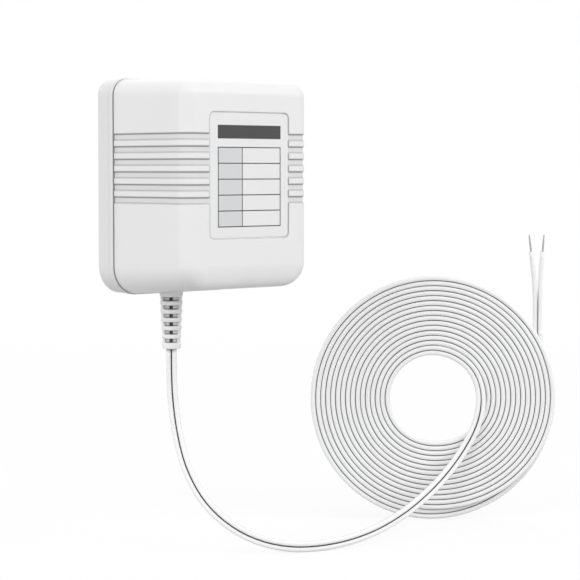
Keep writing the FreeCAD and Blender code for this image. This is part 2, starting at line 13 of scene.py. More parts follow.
import bpy
import numpy as np
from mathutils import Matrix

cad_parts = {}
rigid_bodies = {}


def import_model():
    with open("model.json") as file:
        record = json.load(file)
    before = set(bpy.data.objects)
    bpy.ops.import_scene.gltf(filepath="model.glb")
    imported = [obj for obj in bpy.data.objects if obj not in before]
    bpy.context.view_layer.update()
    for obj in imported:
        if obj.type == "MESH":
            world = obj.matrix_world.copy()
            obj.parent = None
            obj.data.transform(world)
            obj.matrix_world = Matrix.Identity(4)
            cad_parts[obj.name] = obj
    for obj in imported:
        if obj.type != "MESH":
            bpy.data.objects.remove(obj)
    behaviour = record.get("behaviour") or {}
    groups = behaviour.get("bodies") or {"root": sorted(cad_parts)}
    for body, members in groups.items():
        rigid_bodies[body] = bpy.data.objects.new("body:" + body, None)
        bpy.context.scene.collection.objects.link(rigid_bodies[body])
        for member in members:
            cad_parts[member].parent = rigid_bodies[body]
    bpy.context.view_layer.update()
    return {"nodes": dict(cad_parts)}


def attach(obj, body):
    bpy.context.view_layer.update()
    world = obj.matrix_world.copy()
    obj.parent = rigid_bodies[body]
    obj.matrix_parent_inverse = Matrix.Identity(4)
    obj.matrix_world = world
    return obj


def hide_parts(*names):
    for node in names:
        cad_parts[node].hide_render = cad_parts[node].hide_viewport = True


log = logging.getLogger("transformer")

MM = 0.001
BODY = "root"
MERGE_DIGITS = 4
ROW_DIGITS = 3
SHARE_DIGITS = 6
FULL_TURN = 2.0 * np.pi
MIRROR = np.array([-1.0, 1.0, 1.0])
WHITE = (1.0, 1.0, 1.0, 1.0)
# Point attribute of painted shade: how much of a finish's line colour each point takes.
SHADE_ATTRIBUTE = "shade_values"

Colour = tuple[float, float, float]
Shape = tuple[np.ndarray, list]
Tree = bpy.types.NodeTree
Socket = bpy.types.NodeSocket


# Mesh work


def grid_quads(rows: int, cols: int, closed: bool = False) -> np.ndarray:
    """Quads of a grid whose points are numbered row by row.

    Each quad goes from a point to the next column, up one row and back.

    Args:
        rows: number of rows.
        cols: number of points in a row.
        closed: whether the last column joins the first.

    Returns:
        Four point numbers per quad.
    """
    steps = cols if closed else cols - 1
    row, col = np.meshgrid(np.arange(rows - 1), np.arange(steps), indexing="ij")
    after = (col + 1) % cols
    corners = [row * cols + col, row * cols + after, (row + 1) * cols + after, (row + 1) * cols + col]
    return np.stack(corners, axis=-1).reshape(-1, 4)


def soft_step(value: np.ndarray, edge: float, width: float) -> np.ndarray:
    """Rise from 0 to 1 across an edge, as three t squared less two t cubed over the width."""
    t = np.clip((value - edge) / width + 0.5, 0.0, 1.0)
    return t * t * (3.0 - 2.0 * t)


def ridge(value: np.ndarray, centre: float, reach: float) -> np.ndarray:
    """Soft ridge that is 1 at a centre and falls to 0 at a reach on both sides."""
    return soft_step(1.0 - np.abs(value - centre) / reach, 0.5, 1.0)


def arc(start: float, end: float, steps: int) -> np.ndarray:
    """Angles of an arc in radians, from its ends in degrees."""
    return np.radians(np.linspace(start, end, steps + 1))


def round_angles(steps: int) -> np.ndarray:
    """Angles evenly round a full turn."""
    return np.linspace(0.0, FULL_TURN, steps, endpoint=False)


def directions(angle: np.ndarray) -> np.ndarray:
    """Cosine and sine of each angle."""
    return np.stack([np.cos(angle), np.sin(angle)], axis=-1)


def path_length(path: np.ndarray) -> np.ndarray:
    """Length gone at each point of a path, as the running sum of its steps."""
    return np.concatenate([[0.0], np.cumsum(np.linalg.norm(np.diff(path, axis=0), axis=1))])


def rounded_box_distance(
        u: np.ndarray, v: np.ndarray, half_u: float, half_v: float, radius: float) -> np.ndarray:
    """Signed distance to a rounded rectangle: what reaches past its inner corner, less the radius.

    Args:
        u: first coordinates.
        v: second coordinates.
        half_u: half the width.
        half_v: half the height.
        radius: corner radius.

    Returns:
        Distances, negative inside.
    """
    past_u = np.abs(u) - (half_u - radius)
    past_v = np.abs(v) - (half_v - radius)
    outside = np.hypot(np.maximum(past_u, 0.0), np.maximum(past_v, 0.0))
    inside = np.minimum(np.maximum(past_u, past_v), 0.0)
    return outside + inside - radius


def new_piece(
        name: str, shape: Shape, finish: "Finish", stands_for: tuple[str, ...] = (),
        shade_values: Optional[np.ndarray] = None) -> bpy.types.Object:
    """Mesh piece that rides on the part.

    Args:
        name: name of the piece.
        shape: points in millimetres, and arrays of point numbers, one for each number of corners.
        finish: finish that the piece is dressed in.
        stands_for: nodes that the piece replaces.
        shade_values: how much painted shade, in the finish's line colour, each point takes.

    Returns:
        The new object.
    """
    points, faces = shape
    mesh = bpy.data.meshes.new(name)
    mesh.from_pydata((points * MM).tolist(), [], [face for array in faces for face in array.tolist()])
    mesh.polygons.foreach_set("use_smooth", np.ones(len(mesh.polygons), dtype=bool))
    mesh.update()
    mesh.materials.append(finish.material())
    if shade_values is not None:
        layer = mesh.attributes.new(SHADE_ATTRIBUTE, "FLOAT", "POINT")
        layer.data.foreach_set("value", shade_values.astype(np.float32))
    piece = bpy.data.objects.new(name, mesh)
    bpy.context.scene.collection.objects.link(piece)
    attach(piece, BODY)
    if stands_for:
        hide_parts(*stands_for)
    log.info("piece %s: %d points, %d faces", name, len(mesh.vertices), len(mesh.polygons))
    return piece


def joined(shapes: list[Shape]) -> Shape:
    """Several shapes as one, with the point numbers moved on.

    Args:
        shapes: points and faces of each.

    Returns:
        Points and faces of all.
    """
    points, faces, start = [], [], 0
    for shape_points, shape_faces in shapes:
        points.append(shape_points)
        faces += [array + start for array in shape_faces]
        start += len(shape_points)
    return np.concatenate(points), faces


def merged(points: np.ndarray) -> tuple[np.ndarray, np.ndarray]:
    """First point of each place, and the place number of every point.

    Args:
        points: points, some of them in the same place.

    Returns:
        Point numbers and place numbers.
    """
    places = np.round(points, MERGE_DIGITS)
    _, first, place = np.unique(places, axis=0, return_index=True, return_inverse=True)
    return first, place.reshape(-1)


def thick_shell(
        outer: np.ndarray, inner: np.ndarray, quads: np.ndarray,
        painted_shade: np.ndarray) -> tuple[Shape, np.ndarray]:
    """Closed wall between two skins with the same quads: both skins, and a band along each open edge.

    Args:
        outer: points of the outer skin.
        inner: points of the inner skin, in the same order.
        quads: quads of the outer skin, facing outwards.
        painted_shade: painted shade at each point of the outer skin.

    Returns:
        Points and faces of the closed wall, and the painted shade at its points, none on the inner skin.
    """
    first, place = merged(outer)
    quads = place[quads]
    count = len(first)
    edges = np.concatenate([quads[:, [k, (k + 1) % 4]] for k in range(4)])
    keys = np.sort(edges, axis=1)
    _, number, uses = np.unique(keys, axis=0, return_inverse=True, return_counts=True)
    rim = edges[uses[number.reshape(-1)] == 1]
    band = np.stack([rim[:, 1], rim[:, 0], rim[:, 0] + count, rim[:, 1] + count], axis=-1)
    points = np.concatenate([outer[first], inner[first]])
    return (points, [quads, quads[:, ::-1] + count, band]), np.concatenate([painted_shade[first], np.zeros(count)])


def carried(path: np.ndarray, section: np.ndarray, aside: np.ndarray, twist: float = 0.0) -> Shape:
    """Closed profile carried along a path and capped at both ends.

    At each point of the path the profile's first axis is the tangent crossed with a fixed direction,
    its second axis is the tangent crossed with the first, and the profile turns with the length gone.

    Args:
        path: points of the path.
        section: points of the profile, in order round it, the same everywhere or one set for each point.
        aside: the fixed direction, never along the path.
        twist: turn of the profile in radians per millimetre.

    Returns:
        Points and faces.
    """
    onward = np.gradient(path, axis=0)
    onward /= np.linalg.norm(onward, axis=1, keepdims=True)
    broad = np.cross(onward, aside)
    broad /= np.linalg.norm(broad, axis=1, keepdims=True)
    thin = np.cross(onward, broad)
    turn = (path_length(path) * twist)[:, None]
    along_broad = section[..., 0] * np.cos(turn) - section[..., 1] * np.sin(turn)
    along_thin = section[..., 0] * np.sin(turn) + section[..., 1] * np.cos(turn)
    rings = path[:, None] + along_broad[..., None] * broad[:, None] + along_thin[..., None] * thin[:, None]
    rows, cols = rings.shape[:2]
    points = np.concatenate([rings.reshape(-1, 3), path[:1], path[-1:]])
    here = np.arange(cols)
    after = (here + 1) % cols
    last = (rows - 1) * cols
    start_cap = np.stack([np.full(cols, rows * cols), after, here], axis=-1)
    end_cap = np.stack([np.full(cols, rows * cols + 1), last + here, last + after], axis=-1)
    return points, [grid_quads(rows, cols, closed=True), start_cap, end_cap]


def spline_points(route: np.ndarray, steps: int) -> np.ndarray:
    """Points of the smooth line that has a route's points as its control points.

    Args:
        route: control points in millimetres.
        steps: points that the line gets between two control points.

    Returns:
        Points along the line, in millimetres.
    """
    curve = bpy.data.curves.new("route_line", "CURVE")
    curve.dimensions = "3D"
    curve.resolution_u = steps
    spline = curve.splines.new("NURBS")
    spline.points.add(len(route) - 1)
    spline.points.foreach_set("co", np.c_[route * MM, np.ones(len(route))].ravel())
    spline.order_u = 3
    spline.use_endpoint_u = True
    holder = bpy.data.objects.new("route_line", curve)
    bpy.context.scene.collection.objects.link(holder)
    bpy.context.view_layer.update()
    line = bpy.data.meshes.new_from_object(holder)
    found = np.empty(len(line.vertices) * 3)
    line.vertices.foreach_get("co", found)
    bpy.data.objects.remove(holder)
    bpy.data.curves.remove(curve)
    bpy.data.meshes.remove(line)
    return found.reshape(-1, 3) / MM


# Finishes

NOISE_DETAIL = 3.0
STREAK_SQUEEZE = 0.04
LAYER_WAVER = 0.15
WAVE_BAND = np.pi / 10.0
MIX_FIRST, MIX_SECOND, MIX_RESULT = 6, 7, 2


def feed(tree: Tree, node: bpy.types.Node, inputs: dict) -> None:
    """Set or link the inputs of a shader node.

    Args:
        tree: the nodes that it is one of.
        node: the node.
        inputs: a value or a socket for each input, by name or number.
    """
    for key, given in inputs.items():
        if isinstance(given, Socket):
            tree.links.new(given, node.inputs[key])
        else:
            node.inputs[key].default_value = given


def shader_node(tree: Tree, kind: str, inputs: Optional[dict] = None, **settings: str) -> bpy.types.Node:
    """New shader node.

    Args:
        tree: the nodes that it joins.
        kind: kind of the node.
        inputs: a value or a socket for each input, by name or number.
        settings: choices of the node itself, such as its operation.

    Returns:
        The node.
    """
    node = tree.nodes.new("ShaderNode" + kind)
    for name, choice in settings.items():
        setattr(node, name, choice)
    feed(tree, node, inputs or {})
    return node


def grey(level: float) -> Colour:
    """Neutral colour of a level."""
    return level, level, level


class Pattern(Enum):
    """How the surface of a finish is worked."""

    GRAIN = "fine moulded grain"
    BRUSHED = "streaks along one axis"
    LAYERS = "stacked sheets or turns"


@dataclass(frozen=True)
class Finish:
    """Finish with a main and a second colour, a surface pattern and a soft change of gloss.

    The pattern's height drives the bump, and a broad cloud of noise moves the roughness by the spread.
    The second colour follows the height of layers, and in other patterns the cloud. The line colour is
    painted shade, mixed in where the piece's shade attribute has values.
    """

    name: str
    colour: Colour
    second: Colour
    roughness: float
    pattern: Pattern = Pattern.GRAIN
    pitch: float = 0.5
    depth: float = 0.012
    axis: str = "Z"
    metallic: float = 0.0
    spread: float = 0.06
    cloud: float = 22.0
    # colour of the painted shade
    line: Optional[Colour] = None

    def material(self) -> bpy.types.Material:
        """The finish as a material, made once.

        Returns:
            The material.
        """
        made = bpy.data.materials.get(self.name)
        if made is not None:
            return made
        made = bpy.data.materials.new(self.name)
        made.use_nodes = True
        tree = made.node_tree
        place = shader_node(tree, "TexCoord").outputs["Object"]
        height = self.height(tree, place)
        cloud = self.noise(tree, place, self.cloud)
        bump = shader_node(tree, "Bump", {"Distance": self.depth * MM, "Height": height})
        low, high = self.roughness - self.spread, self.roughness + self.spread
        gloss = shader_node(tree, "MapRange", {"Value": cloud, "To Min": low, "To Max": high})
        tint = height if self.pattern is Pattern.LAYERS else cloud
        colour = self.mixed(tree, tint, (*self.colour, 1.0), self.second)
        if self.line is not None:
            # painted shade: the line colour mixed in by the point attribute
            shade_values = shader_node(tree, "Attribute", attribute_name=SHADE_ATTRIBUTE)
            colour = self.mixed(tree, shade_values.outputs["Fac"], colour, self.line)
        feed(tree, tree.nodes["Principled BSDF"], {
            "Metallic": self.metallic,
            "Normal": bump.outputs["Normal"],
            "Roughness": gloss.outputs["Result"],
            "Base Color": colour,
        })
        return made

    def height(self, tree: Tree, place: Socket) -> Socket:
        """Height of the surface pattern.

        Args:
            tree: the material's nodes.
            place: object coordinates.

        Returns:
            A socket from 0 to 1.
        """
        if self.pattern is Pattern.LAYERS:
            inputs = {"Vector": place, "Scale": WAVE_BAND / (self.pitch * MM), "Distortion": LAYER_WAVER}
            return shader_node(tree, "TexWave", inputs, bands_direction=self.axis).outputs["Fac"]
        if self.pattern is Pattern.BRUSHED:
            squeeze = [STREAK_SQUEEZE if self.axis == name else 1.0 for name in "XYZ"]
            place = shader_node(tree, "Mapping", {"Vector": place, "Scale": squeeze}).outputs["Vector"]
        return self.noise(tree, place, self.pitch)

    @staticmethod
    def noise(tree: Tree, place: Socket, pitch: float) -> Socket:
        """Noise with features about a pitch apart."""
        inputs = {"Vector": place, "Scale": 1.0 / (pitch * MM), "Detail": NOISE_DETAIL}
        return shader_node(tree, "TexNoise", inputs).outputs["Fac"]

    @staticmethod
    def mixed(tree: Tree, factor: Socket, first: Union[Socket, tuple], second: Colour) -> Socket:
        """Mix of a first colour, given or from a socket, with a second colour."""
        inputs = {"Factor": factor, MIX_FIRST: first, MIX_SECOND: (*second, 1.0)}
        return shader_node(tree, "Mix", inputs, data_type="RGBA").outputs[MIX_RESULT]


# Line colours of painted shade: in the housing's grooves, panel edge and gaps, in the sleeve's slots, and
# along the cord.
CREVICE_SHADE = (0.13, 0.13, 0.135)
SLOT_SHADE = (0.06, 0.06, 0.062)
CORD_SHADE = (0.03, 0.03, 0.032)
HOUSING_PLASTIC = Finish("housing_plastic", grey(0.86), grey(0.83), 0.36, depth=0.006, line=CREVICE_SHADE)
# The cover is darker than the housing: partly its own tone, partly painted shade.
COVER_PLASTIC = Finish("cover_plastic", grey(0.80), grey(0.77), 0.38, depth=0.006, line=CREVICE_SHADE)
RELIEF_VINYL = Finish("relief_vinyl", grey(0.96), grey(0.94), 0.46, line=SLOT_SHADE)
CORD_VINYL = Finish("cord_vinyl", grey(0.96), grey(0.94), 0.42, depth=0.004, line=CORD_SHADE)
CORE_VINYL = Finish("core_vinyl", grey(0.95), grey(0.93), 0.42, depth=0.004, line=CORD_SHADE)
LABEL_FILM = Finish("label_film", grey(0.85), grey(0.82), 0.34, pitch=0.3, depth=0.004)
PRINT_INK = Finish("print_ink", (0.03, 0.03, 0.032), (0.05, 0.05, 0.052), 0.5, pitch=0.2, depth=0.003)
FIELD_INK = Finish("field_ink", (0.66, 0.67, 0.68), (0.69, 0.70, 0.71), 0.5, pitch=0.2, depth=0.003)
BOBBIN_NYLON = Finish("bobbin_nylon", (0.10, 0.10, 0.11), (0.08, 0.08, 0.088), 0.5)
FUSE_CASE = Finish("fuse_case", (0.80, 0.76, 0.66), (0.75, 0.71, 0.61), 0.38, depth=0.008)
LEAD_SLEEVE = Finish("lead_sleeve", (0.05, 0.05, 0.055), (0.04, 0.04, 0.044), 0.42, depth=0.006)
NICKEL = Finish(
    "nickel", (0.62, 0.60, 0.56), (0.52, 0.50, 0.46), 0.27, Pattern.BRUSHED, 0.12, 0.004, "Y", metallic=1.0)
TINNED = Finish(
    "tinned", (0.66, 0.66, 0.65), (0.55, 0.55, 0.54), 0.33, Pattern.BRUSHED, 0.2, 0.006, "Y", metallic=1.0)
STRAND = Finish(
    "strand", (0.44, 0.44, 0.43), (0.34, 0.34, 0.33), 0.4, Pattern.BRUSHED, 0.08, 0.004, "Z", metallic=0.8)
CORE_STEEL = Finish(
    "core_steel", (0.10, 0.10, 0.11), (0.30, 0.30, 0.31), 0.45, Pattern.LAYERS, 0.5, 0.03, "Y", metallic=0.8)
ENAMEL_COPPER = Finish(
    "enamel_copper", (0.20, 0.05, 0.02), (0.62, 0.24, 0.10), 0.3, Pattern.LAYERS, 0.28, 0.05, metallic=0.9)
WINDING_TAPE = Finish(
    "winding_tape", (0.68, 0.50, 0.08), (0.60, 0.43, 0.06), 0.3, Pattern.LAYERS, 4.5, 0.02)

FINISHED_NODES: dict[Finish, tuple[str, ...]] = {
    HOUSING_PLASTIC: ("front_shell",),
    COVER_PLASTIC: ("rear_cover",),
    LABEL_FILM: ("rating_label",),
    NICKEL: ("left_blade", "right_blade"),
    CORE_STEEL: ("core_e_stack", "core_i_stack"),
    BOBBIN_NYLON: ("bobbin",),
    ENAMEL_COPPER: ("primary_winding", "secondary_winding"),
    WINDING_TAPE: ("primary_tape", "secondary_tape"),
    TINNED: ("primary_pins", "secondary_pins"),
    FUSE_CASE: ("thermal_fuse",),
    LEAD_SLEEVE: ("line_lead", "neutral_lead"),
    RELIEF_VINYL: ("strain_relief",),
    CORD_VINYL: ("cord_stub", "cord_lead", "cord_coil", "cord_tail"),
    CORE_VINYL: ("output_lead_a", "output_lead_b", "core_end_a", "core_end_b"),
    STRAND: ("bare_end_a", "bare_end_b"),
}


# Housing


@dataclass
class Skin:
    """Points of one skin of a moulded half, with what is needed to cut into it."""

    points: np.ndarray
    normals: np.ndarray
    weight: np.ndarray
    on_face: np.ndarray
    quads: np.ndarray


@dataclass
class MouldedHalf:
    """Half of the housing: a profile carried round the contour and closed by a flat face.

    The contour is a rectangle with one radius for its low and one for its top corners. A row of the
    main grid starts at the parting edge on the left, follows the profile to the flat face, runs straight
    across it and follows the profile back on the right. Two more grids carry the profile along the flat
    bottom and the flat top.
    """

    half_w: float = 29.0
    top: float = 33.5
    low: float = -41.5
    top_r: float = 5.7
    low_r: float = 9.7
    wall: float = 2.5
    parting_y: float = -8.8
    bevel: float = 0.12
    bevel_mid: float = 0.04
    corner_steps: int = 12
    edge_steps: int = 9

    def left_contour(self, levels: np.ndarray) -> tuple[np.ndarray, np.ndarray]:
        """Left half of the contour: a quarter circle, the straight side and a quarter circle.

        Args:
            levels: heights of the points on the straight side.

        Returns:
            Places and outward normals, across and up.
        """
        low_n = directions(arc(270.0, 180.0, self.corner_steps))
        top_n = directions(arc(180.0, 90.0, self.corner_steps))
        low_p = np.array([self.low_r - self.half_w, self.low + self.low_r]) + self.low_r * low_n
        top_p = np.array([self.top_r - self.half_w, self.top - self.top_r]) + self.top_r * top_n
        side_p = np.stack([np.full(len(levels), -self.half_w), levels], axis=-1)
        side_n = np.tile([-1.0, 0.0], (len(levels), 1))
        return np.concatenate([low_p, side_p, top_p]), np.concatenate([low_n, side_n, top_n])

    @staticmethod
    def profile_at(
            place: np.ndarray, normal: np.ndarray, profile: np.ndarray,
            facing: float) -> tuple[np.ndarray, np.ndarray]:
        """Profile at each place of the contour, moved in against the normal by its insets.

        Args:
            place: places on the contour, across and up.
            normal: outward normals there, across and up.
            profile: rows of y, inset, share of the normal that faces along Y, and cut weight.
            facing: -1 where the flat face looks to -Y, 1 where it looks to +Y.

        Returns:
            Points and normals, a row for each place.
        """
        y, inset, share, _ = profile.T
        rest = np.sqrt(np.maximum(1.0 - share**2, 0.0))
        size = (len(place), len(profile))
        x, z = np.moveaxis(place[:, None] - normal[:, None] * inset[:, None], -1, 0)
        normal_x, normal_z = np.moveaxis(normal[:, None] * rest[:, None], -1, 0)
        points = np.stack([x, np.broadcast_to(y, size), z], axis=-1)
        return points, np.stack([normal_x, np.broadcast_to(facing * share, size), normal_z], axis=-1)

    def skin(self, profile: np.ndarray, facing: float, levels: np.ndarray, spread: np.ndarray) -> Skin:
        """Profile carried round the contour.

        Args:
            profile: rows of y, inset, share of the normal that faces along Y, and cut weight or painted
                shade.
            facing: -1 where the flat face looks to -Y, 1 where it looks to +Y.
            levels: heights of the rows on the straight side.
            spread: shares of the way across the flat face, from 0 to 1.

        Returns:
            The skin, its quads facing outwards.
        """
        left, left_n = self.profile_at(*self.left_contour(levels), profile, facing)
        rows, steps = left.shape[:2]
        weight = profile[:, 3]
        inner = 1.0 - 2.0 * spread[1:-1]
        face = left[:, -1:] * np.stack([inner, np.ones_like(inner), np.ones_like(inner)], axis=-1)
        face_n = np.tile([0.0, facing, 0.0], (rows, len(inner), 1))
        grid = np.concatenate([left, face, left[:, ::-1] * MIRROR], axis=1)
        grid_n = np.concatenate([left_n, face_n, left_n[:, ::-1] * MIRROR], axis=1)
        grid_w = np.tile(np.concatenate([weight, np.ones(len(inner)), weight[::-1]]), (rows, 1))
        on_face = np.zeros(grid.shape[:2], dtype=bool)
        on_face[:, steps - 1:-steps + 1] = True
        points, normals, weights = [grid.reshape(-1, 3)], [grid_n.reshape(-1, 3)], [grid_w.ravel()]
        quads = [grid_quads(rows, grid.shape[1])]
        start = grid_w.size
        for level, reach, down in ((self.low, self.low_r, 1.0), (self.top, self.top_r, -1.0)):
            x = (reach - self.half_w) * (1.0 - 2.0 * spread)
            place = np.stack([x, np.full_like(x, level)], axis=-1)
            normal = np.tile([0.0, -down], (len(x), 1))
            band, band_n = self.profile_at(place, normal, profile, facing)
            band_quads = grid_quads(steps, len(x)) + start
            quads.append(band_quads if down > 0 else band_quads[:, ::-1])
            points.append(band.swapaxes(0, 1).reshape(-1, 3))
            normals.append(band_n.swapaxes(0, 1).reshape(-1, 3))
            weights.append(np.repeat(weight, len(x)))
            start += steps * len(x)
        all_quads = np.concatenate(quads)
        return Skin(
            np.concatenate(points),
            np.concatenate(normals),
            np.concatenate(weights),
            np.concatenate([on_face.ravel(), np.zeros(start - on_face.size, dtype=bool)]),
            all_quads if facing < 0 else all_quads[:, ::-1],
        )

    def rounded_profile(
            self, sides: np.ndarray, face_y: float, facing: float, radius: float, wall: float) -> np.ndarray:
        """Profile of straight sides that ends in a quarter circle down to the flat face.

        Args:
            sides: rows of y, inset and cut weight along the side.
            face_y: place of the flat face.
            facing: -1 or 1, the way the flat face looks along Y.
            radius: radius of the quarter circle.
            wall: how far the profile lies inside the outer skin.

        Returns:
            Rows of y, inset, share and cut weight.
        """
        angle = arc(0.0, 90.0, self.edge_steps)
        turn = np.stack([
            face_y - facing * (wall + radius * (1.0 - np.sin(angle))),
            wall + radius * (1.0 - np.cos(angle)),
            np.sin(angle),
            np.ones_like(angle),
        ], axis=-1)
        return np.concatenate([np.insert(sides, 2, 0.0, axis=1), turn])


@dataclass
class FrontShell(MouldedHalf):
    """Front half with wrapped grip grooves and a sunk label panel.

    The rows and places of the grid lie close together at the cut edges, on both sides of each edge and,
    inside the panel's edge, for its rounded corners. A first, a last and a count give evenly spaced ones.
    """

    front_y: float = -47.6
    edge_r: float = 5.2
    side_draft: float = 0.5
    top_draft: float = 2.1
    low_draft: float = 4.2
    low_sweep: float = 3.6
    sweep_edge: float = 22.5
    sweep_fade: float = 11.0
    gap_w: float = 0.45
    gap_deep: float = 0.8
    gap_corner: float = 0.05
    bevel_weight: float = 0.5
    groove_count: int = 6
    groove_h: float = 2.17
    ridge_h: float = 2.17
    cut_depth: float = 0.4
    band_rise: float = 2.4
    panel_w: float = 37.0
    panel_h: float = 43.3
    panel_r: float = 2.0
    panel_margin: float = 0.5
    edge_soft: float = 0.3
    # Painted shade: lines at the groove edges, a little on the groove floor, along the panel's edge with less
    # on its left, and in the parting gap.
    shade_line_in: float = 0.1
    shade_reach: float = 0.45
    low_shade: float = 0.5
    high_shade: float = 0.8
    groove_floor_shade: float = 0.13
    panel_shade: float = 0.7
    left_share: float = 0.4
    gap_shade: float = 0.6
    near_rows: tuple = (0.1, 0.25, 0.4, 0.6, 1.8)
    corner_rows: tuple = (0.75, 1.0, 1.35, 1.7, 2.1)
    low_rows: tuple = (-29.0, -23.5, 4)
    high_rows: tuple = (23.0, 26.5, 3)
    spare_rows: tuple = (-16.5, -14.0, 17.0)
    side_depths: tuple = (-14.0, -22.0, -30.0, -38.0)
    middle_places: tuple = (-15.0, 15.0, 13)
    outer_place: float = 21.0

    def groove_lows(self) -> np.ndarray:
        """Lower edge of each groove, with the whole band centred on its rise."""
        pitch = self.groove_h + self.ridge_h
        start = self.band_rise - (self.groove_count * pitch - self.ridge_h) / 2.0
        return start + pitch * np.arange(self.groove_count)

    def near_edge(self) -> np.ndarray:
        """Places of the rows on both sides of a cut edge."""
        beside = np.array(self.near_rows) * self.edge_soft
        return np.concatenate([-beside[::-1], beside])

    def panel_edge(self) -> np.ndarray:
        """Places of the rows about an edge of the panel, with those for its corners."""
        return np.concatenate([self.near_edge(), -np.array(self.corner_rows)])

    def levels(self) -> np.ndarray:
        """Heights of the rows on the straight side, close together at every cut edge.

        Returns:
            Heights from the lowest up.
        """
        lows = self.groove_lows()
        edges = np.concatenate([lows, lows + self.groove_h])
        panel = self.panel_h / 2.0 + self.panel_edge()
        rows = [
            (edges[:, None] + self.near_edge()).ravel(),
            panel,
            -panel,
            lows + self.groove_h / 2.0,
            lows[:-1] + self.groove_h + self.ridge_h / 2.0,
            np.linspace(*self.low_rows),
            np.linspace(*self.high_rows),
            self.spare_rows,
        ]
        return np.unique(np.round(np.concatenate(rows), ROW_DIGITS))

    def spread(self) -> np.ndarray:
        """Shares of the way across the front, close together at the panel's upright edges.

        Returns:
            Shares from 0 to 1.
        """
        reach = self.half_w - self.edge_r
        right = self.panel_w / 2.0 + self.panel_edge()
        outer = [-reach, -self.outer_place, self.outer_place, reach]
        places = np.concatenate([right, -right, np.linspace(*self.middle_places), outer])
        return np.unique(np.round((places + reach) / (2.0 * reach), SHARE_DIGITS))

    def profile(self, wall: float) -> np.ndarray:
        """Side from the shadow gap at the parting plane to the rounded front edge.

        Args:
            wall: how far the profile lies inside the outer skin; 0 is the outer skin.

        Returns:
            Rows of y, inset, share and cut weight.
        """
        gap = self.parting_y - self.gap_w
        sides = np.array([
            (self.parting_y, self.gap_deep, 0.0),
            (gap + self.gap_corner, self.gap_deep, 0.0),
            (gap, self.gap_deep - self.gap_corner, 0.0),
            (gap, self.bevel, self.bevel_weight),
            (gap - self.bevel_mid, self.bevel_mid, 1.0),
            (gap - self.bevel, 0.0, 1.0),
            *[(y, 0.0, 1.0) for y in self.side_depths],
        ])
        if wall > 0.0:
            sides[:, 1] = wall
        return self.rounded_profile(sides, self.front_y, -1.0, self.edge_r - wall, wall)

    def cut(self, skin: Skin) -> tuple[np.ndarray, np.ndarray]:
        """Depth of the grooves and the panel at each point of the outer skin, and how much shade is painted
        there.

        A groove is a soft step up at its lower edge times a soft step down at its upper edge; the panel
        is a soft step of the distance to its rounded outline; the deeper one counts. Painted shade lies
        where a step goes down, most of all under an upper edge and at the panel's right side, a little on
        the groove's floor, and in the gap at the parting plane.

        Args:
            skin: the outer skin.

        Returns:
            Depths in millimetres, and painted shade from 0 to 1.
        """
        x, _, z = skin.points.T
        groove = np.zeros_like(z)
        painted_shade = np.zeros_like(z)
        for low in self.groove_lows():
            high = low + self.groove_h
            inside = soft_step(z, low, self.edge_soft) * (1.0 - soft_step(z, high, self.edge_soft))
            groove = np.maximum(groove, inside)
            # painted shade just inside each groove edge, darkest under the upper edge
            lines = ((low + self.shade_line_in, self.low_shade), (high - self.shade_line_in, self.high_shade))
            for level, amount in lines:
                painted_shade = np.maximum(painted_shade, amount * ridge(z, level, self.shade_reach))
        # a little painted shade on the groove floor
        painted_shade = np.maximum(painted_shade, self.groove_floor_shade * groove)
        outline = rounded_box_distance(x, z, self.panel_w / 2.0, self.panel_h / 2.0, self.panel_r)
        panel = (1.0 - soft_step(outline, 0.0, self.edge_soft)) * skin.on_face
        # painted shade along the panel's edge, stronger on its right side
        right = soft_step(x, self.panel_w / 2.0 - self.panel_r, self.panel_r)
        side = self.left_share + (1.0 - self.left_share) * right
        line = self.panel_shade * side * ridge(outline, -self.shade_line_in, self.shade_reach) * skin.on_face
        painted_shade = np.maximum(painted_shade * (1.0 - panel), line * (1.0 - groove))
        depth = self.cut_depth * np.maximum(groove, panel) * skin.weight
        # painted shade in the gap at the parting plane
        return depth, np.maximum(painted_shade, self.gap_shade * (1.0 - skin.weight))

    def drafted(self, points: np.ndarray) -> np.ndarray:
        """Points moved in for the mould's draft.

        The sides close in with the depth in front of the parting plane. Above and below the sunk panel
        the heights close in too, in proportion to the distance from it. Between the corners the low front
        edge is swept up first, so that its rounding is taller than it is deep.

        Args:
            points: undrafted points.

        Returns:
            Drafted points.
        """
        x, y, z = points.T
        depth = np.maximum(self.parting_y - y, 0.0)
        moved = points.copy()
        moved[:, 0] *= 1.0 - depth * np.tan(np.radians(self.side_draft)) / self.half_w
        still = self.panel_h / 2.0 + self.panel_margin
        room = -still - self.low - self.edge_r
        rise = z - self.low
        front = np.clip((self.front_y + self.edge_r - y) / self.edge_r, 0.0, 1.0)
        front = front**2 * (1.0 - soft_step(np.abs(x), self.sweep_edge, self.sweep_fade))
        swept = soft_step(rise, self.edge_r / 2.0, self.edge_r)
        swept *= 1.0 - soft_step(rise, self.edge_r + room / 2.0, room)
        moved[:, 2] += self.low_sweep * front * swept
        above = np.clip((z - still) / (self.top - still), 0.0, 1.0)
        below = np.clip((-still - z) / (-still - self.low), 0.0, 1.0)
        moved[:, 2] -= above * depth * np.tan(np.radians(self.top_draft))
        moved[:, 2] += below * depth * np.tan(np.radians(self.low_draft))
        return moved

    def build(self) -> bpy.types.Object:
        """Closed front shell in place of its node.

        Returns:
            The piece.
        """
        levels, spread = self.levels(), self.spread()
        outer = self.skin(self.profile(0.0), -1.0, levels, spread)
        inner = self.skin(self.profile(self.wall), -1.0, levels, spread)
        # the cut also gives the painted shade of the outer skin
        depth, painted_shade = self.cut(outer)
        worked = outer.points - outer.normals * depth[:, None]
        shape, shell_shade = thick_shell(self.drafted(worked), self.drafted(inner.points), outer.quads, painted_shade)
        return new_piece("front_housing", shape, HOUSING_PLASTIC, ("front_shell",), shell_shade)


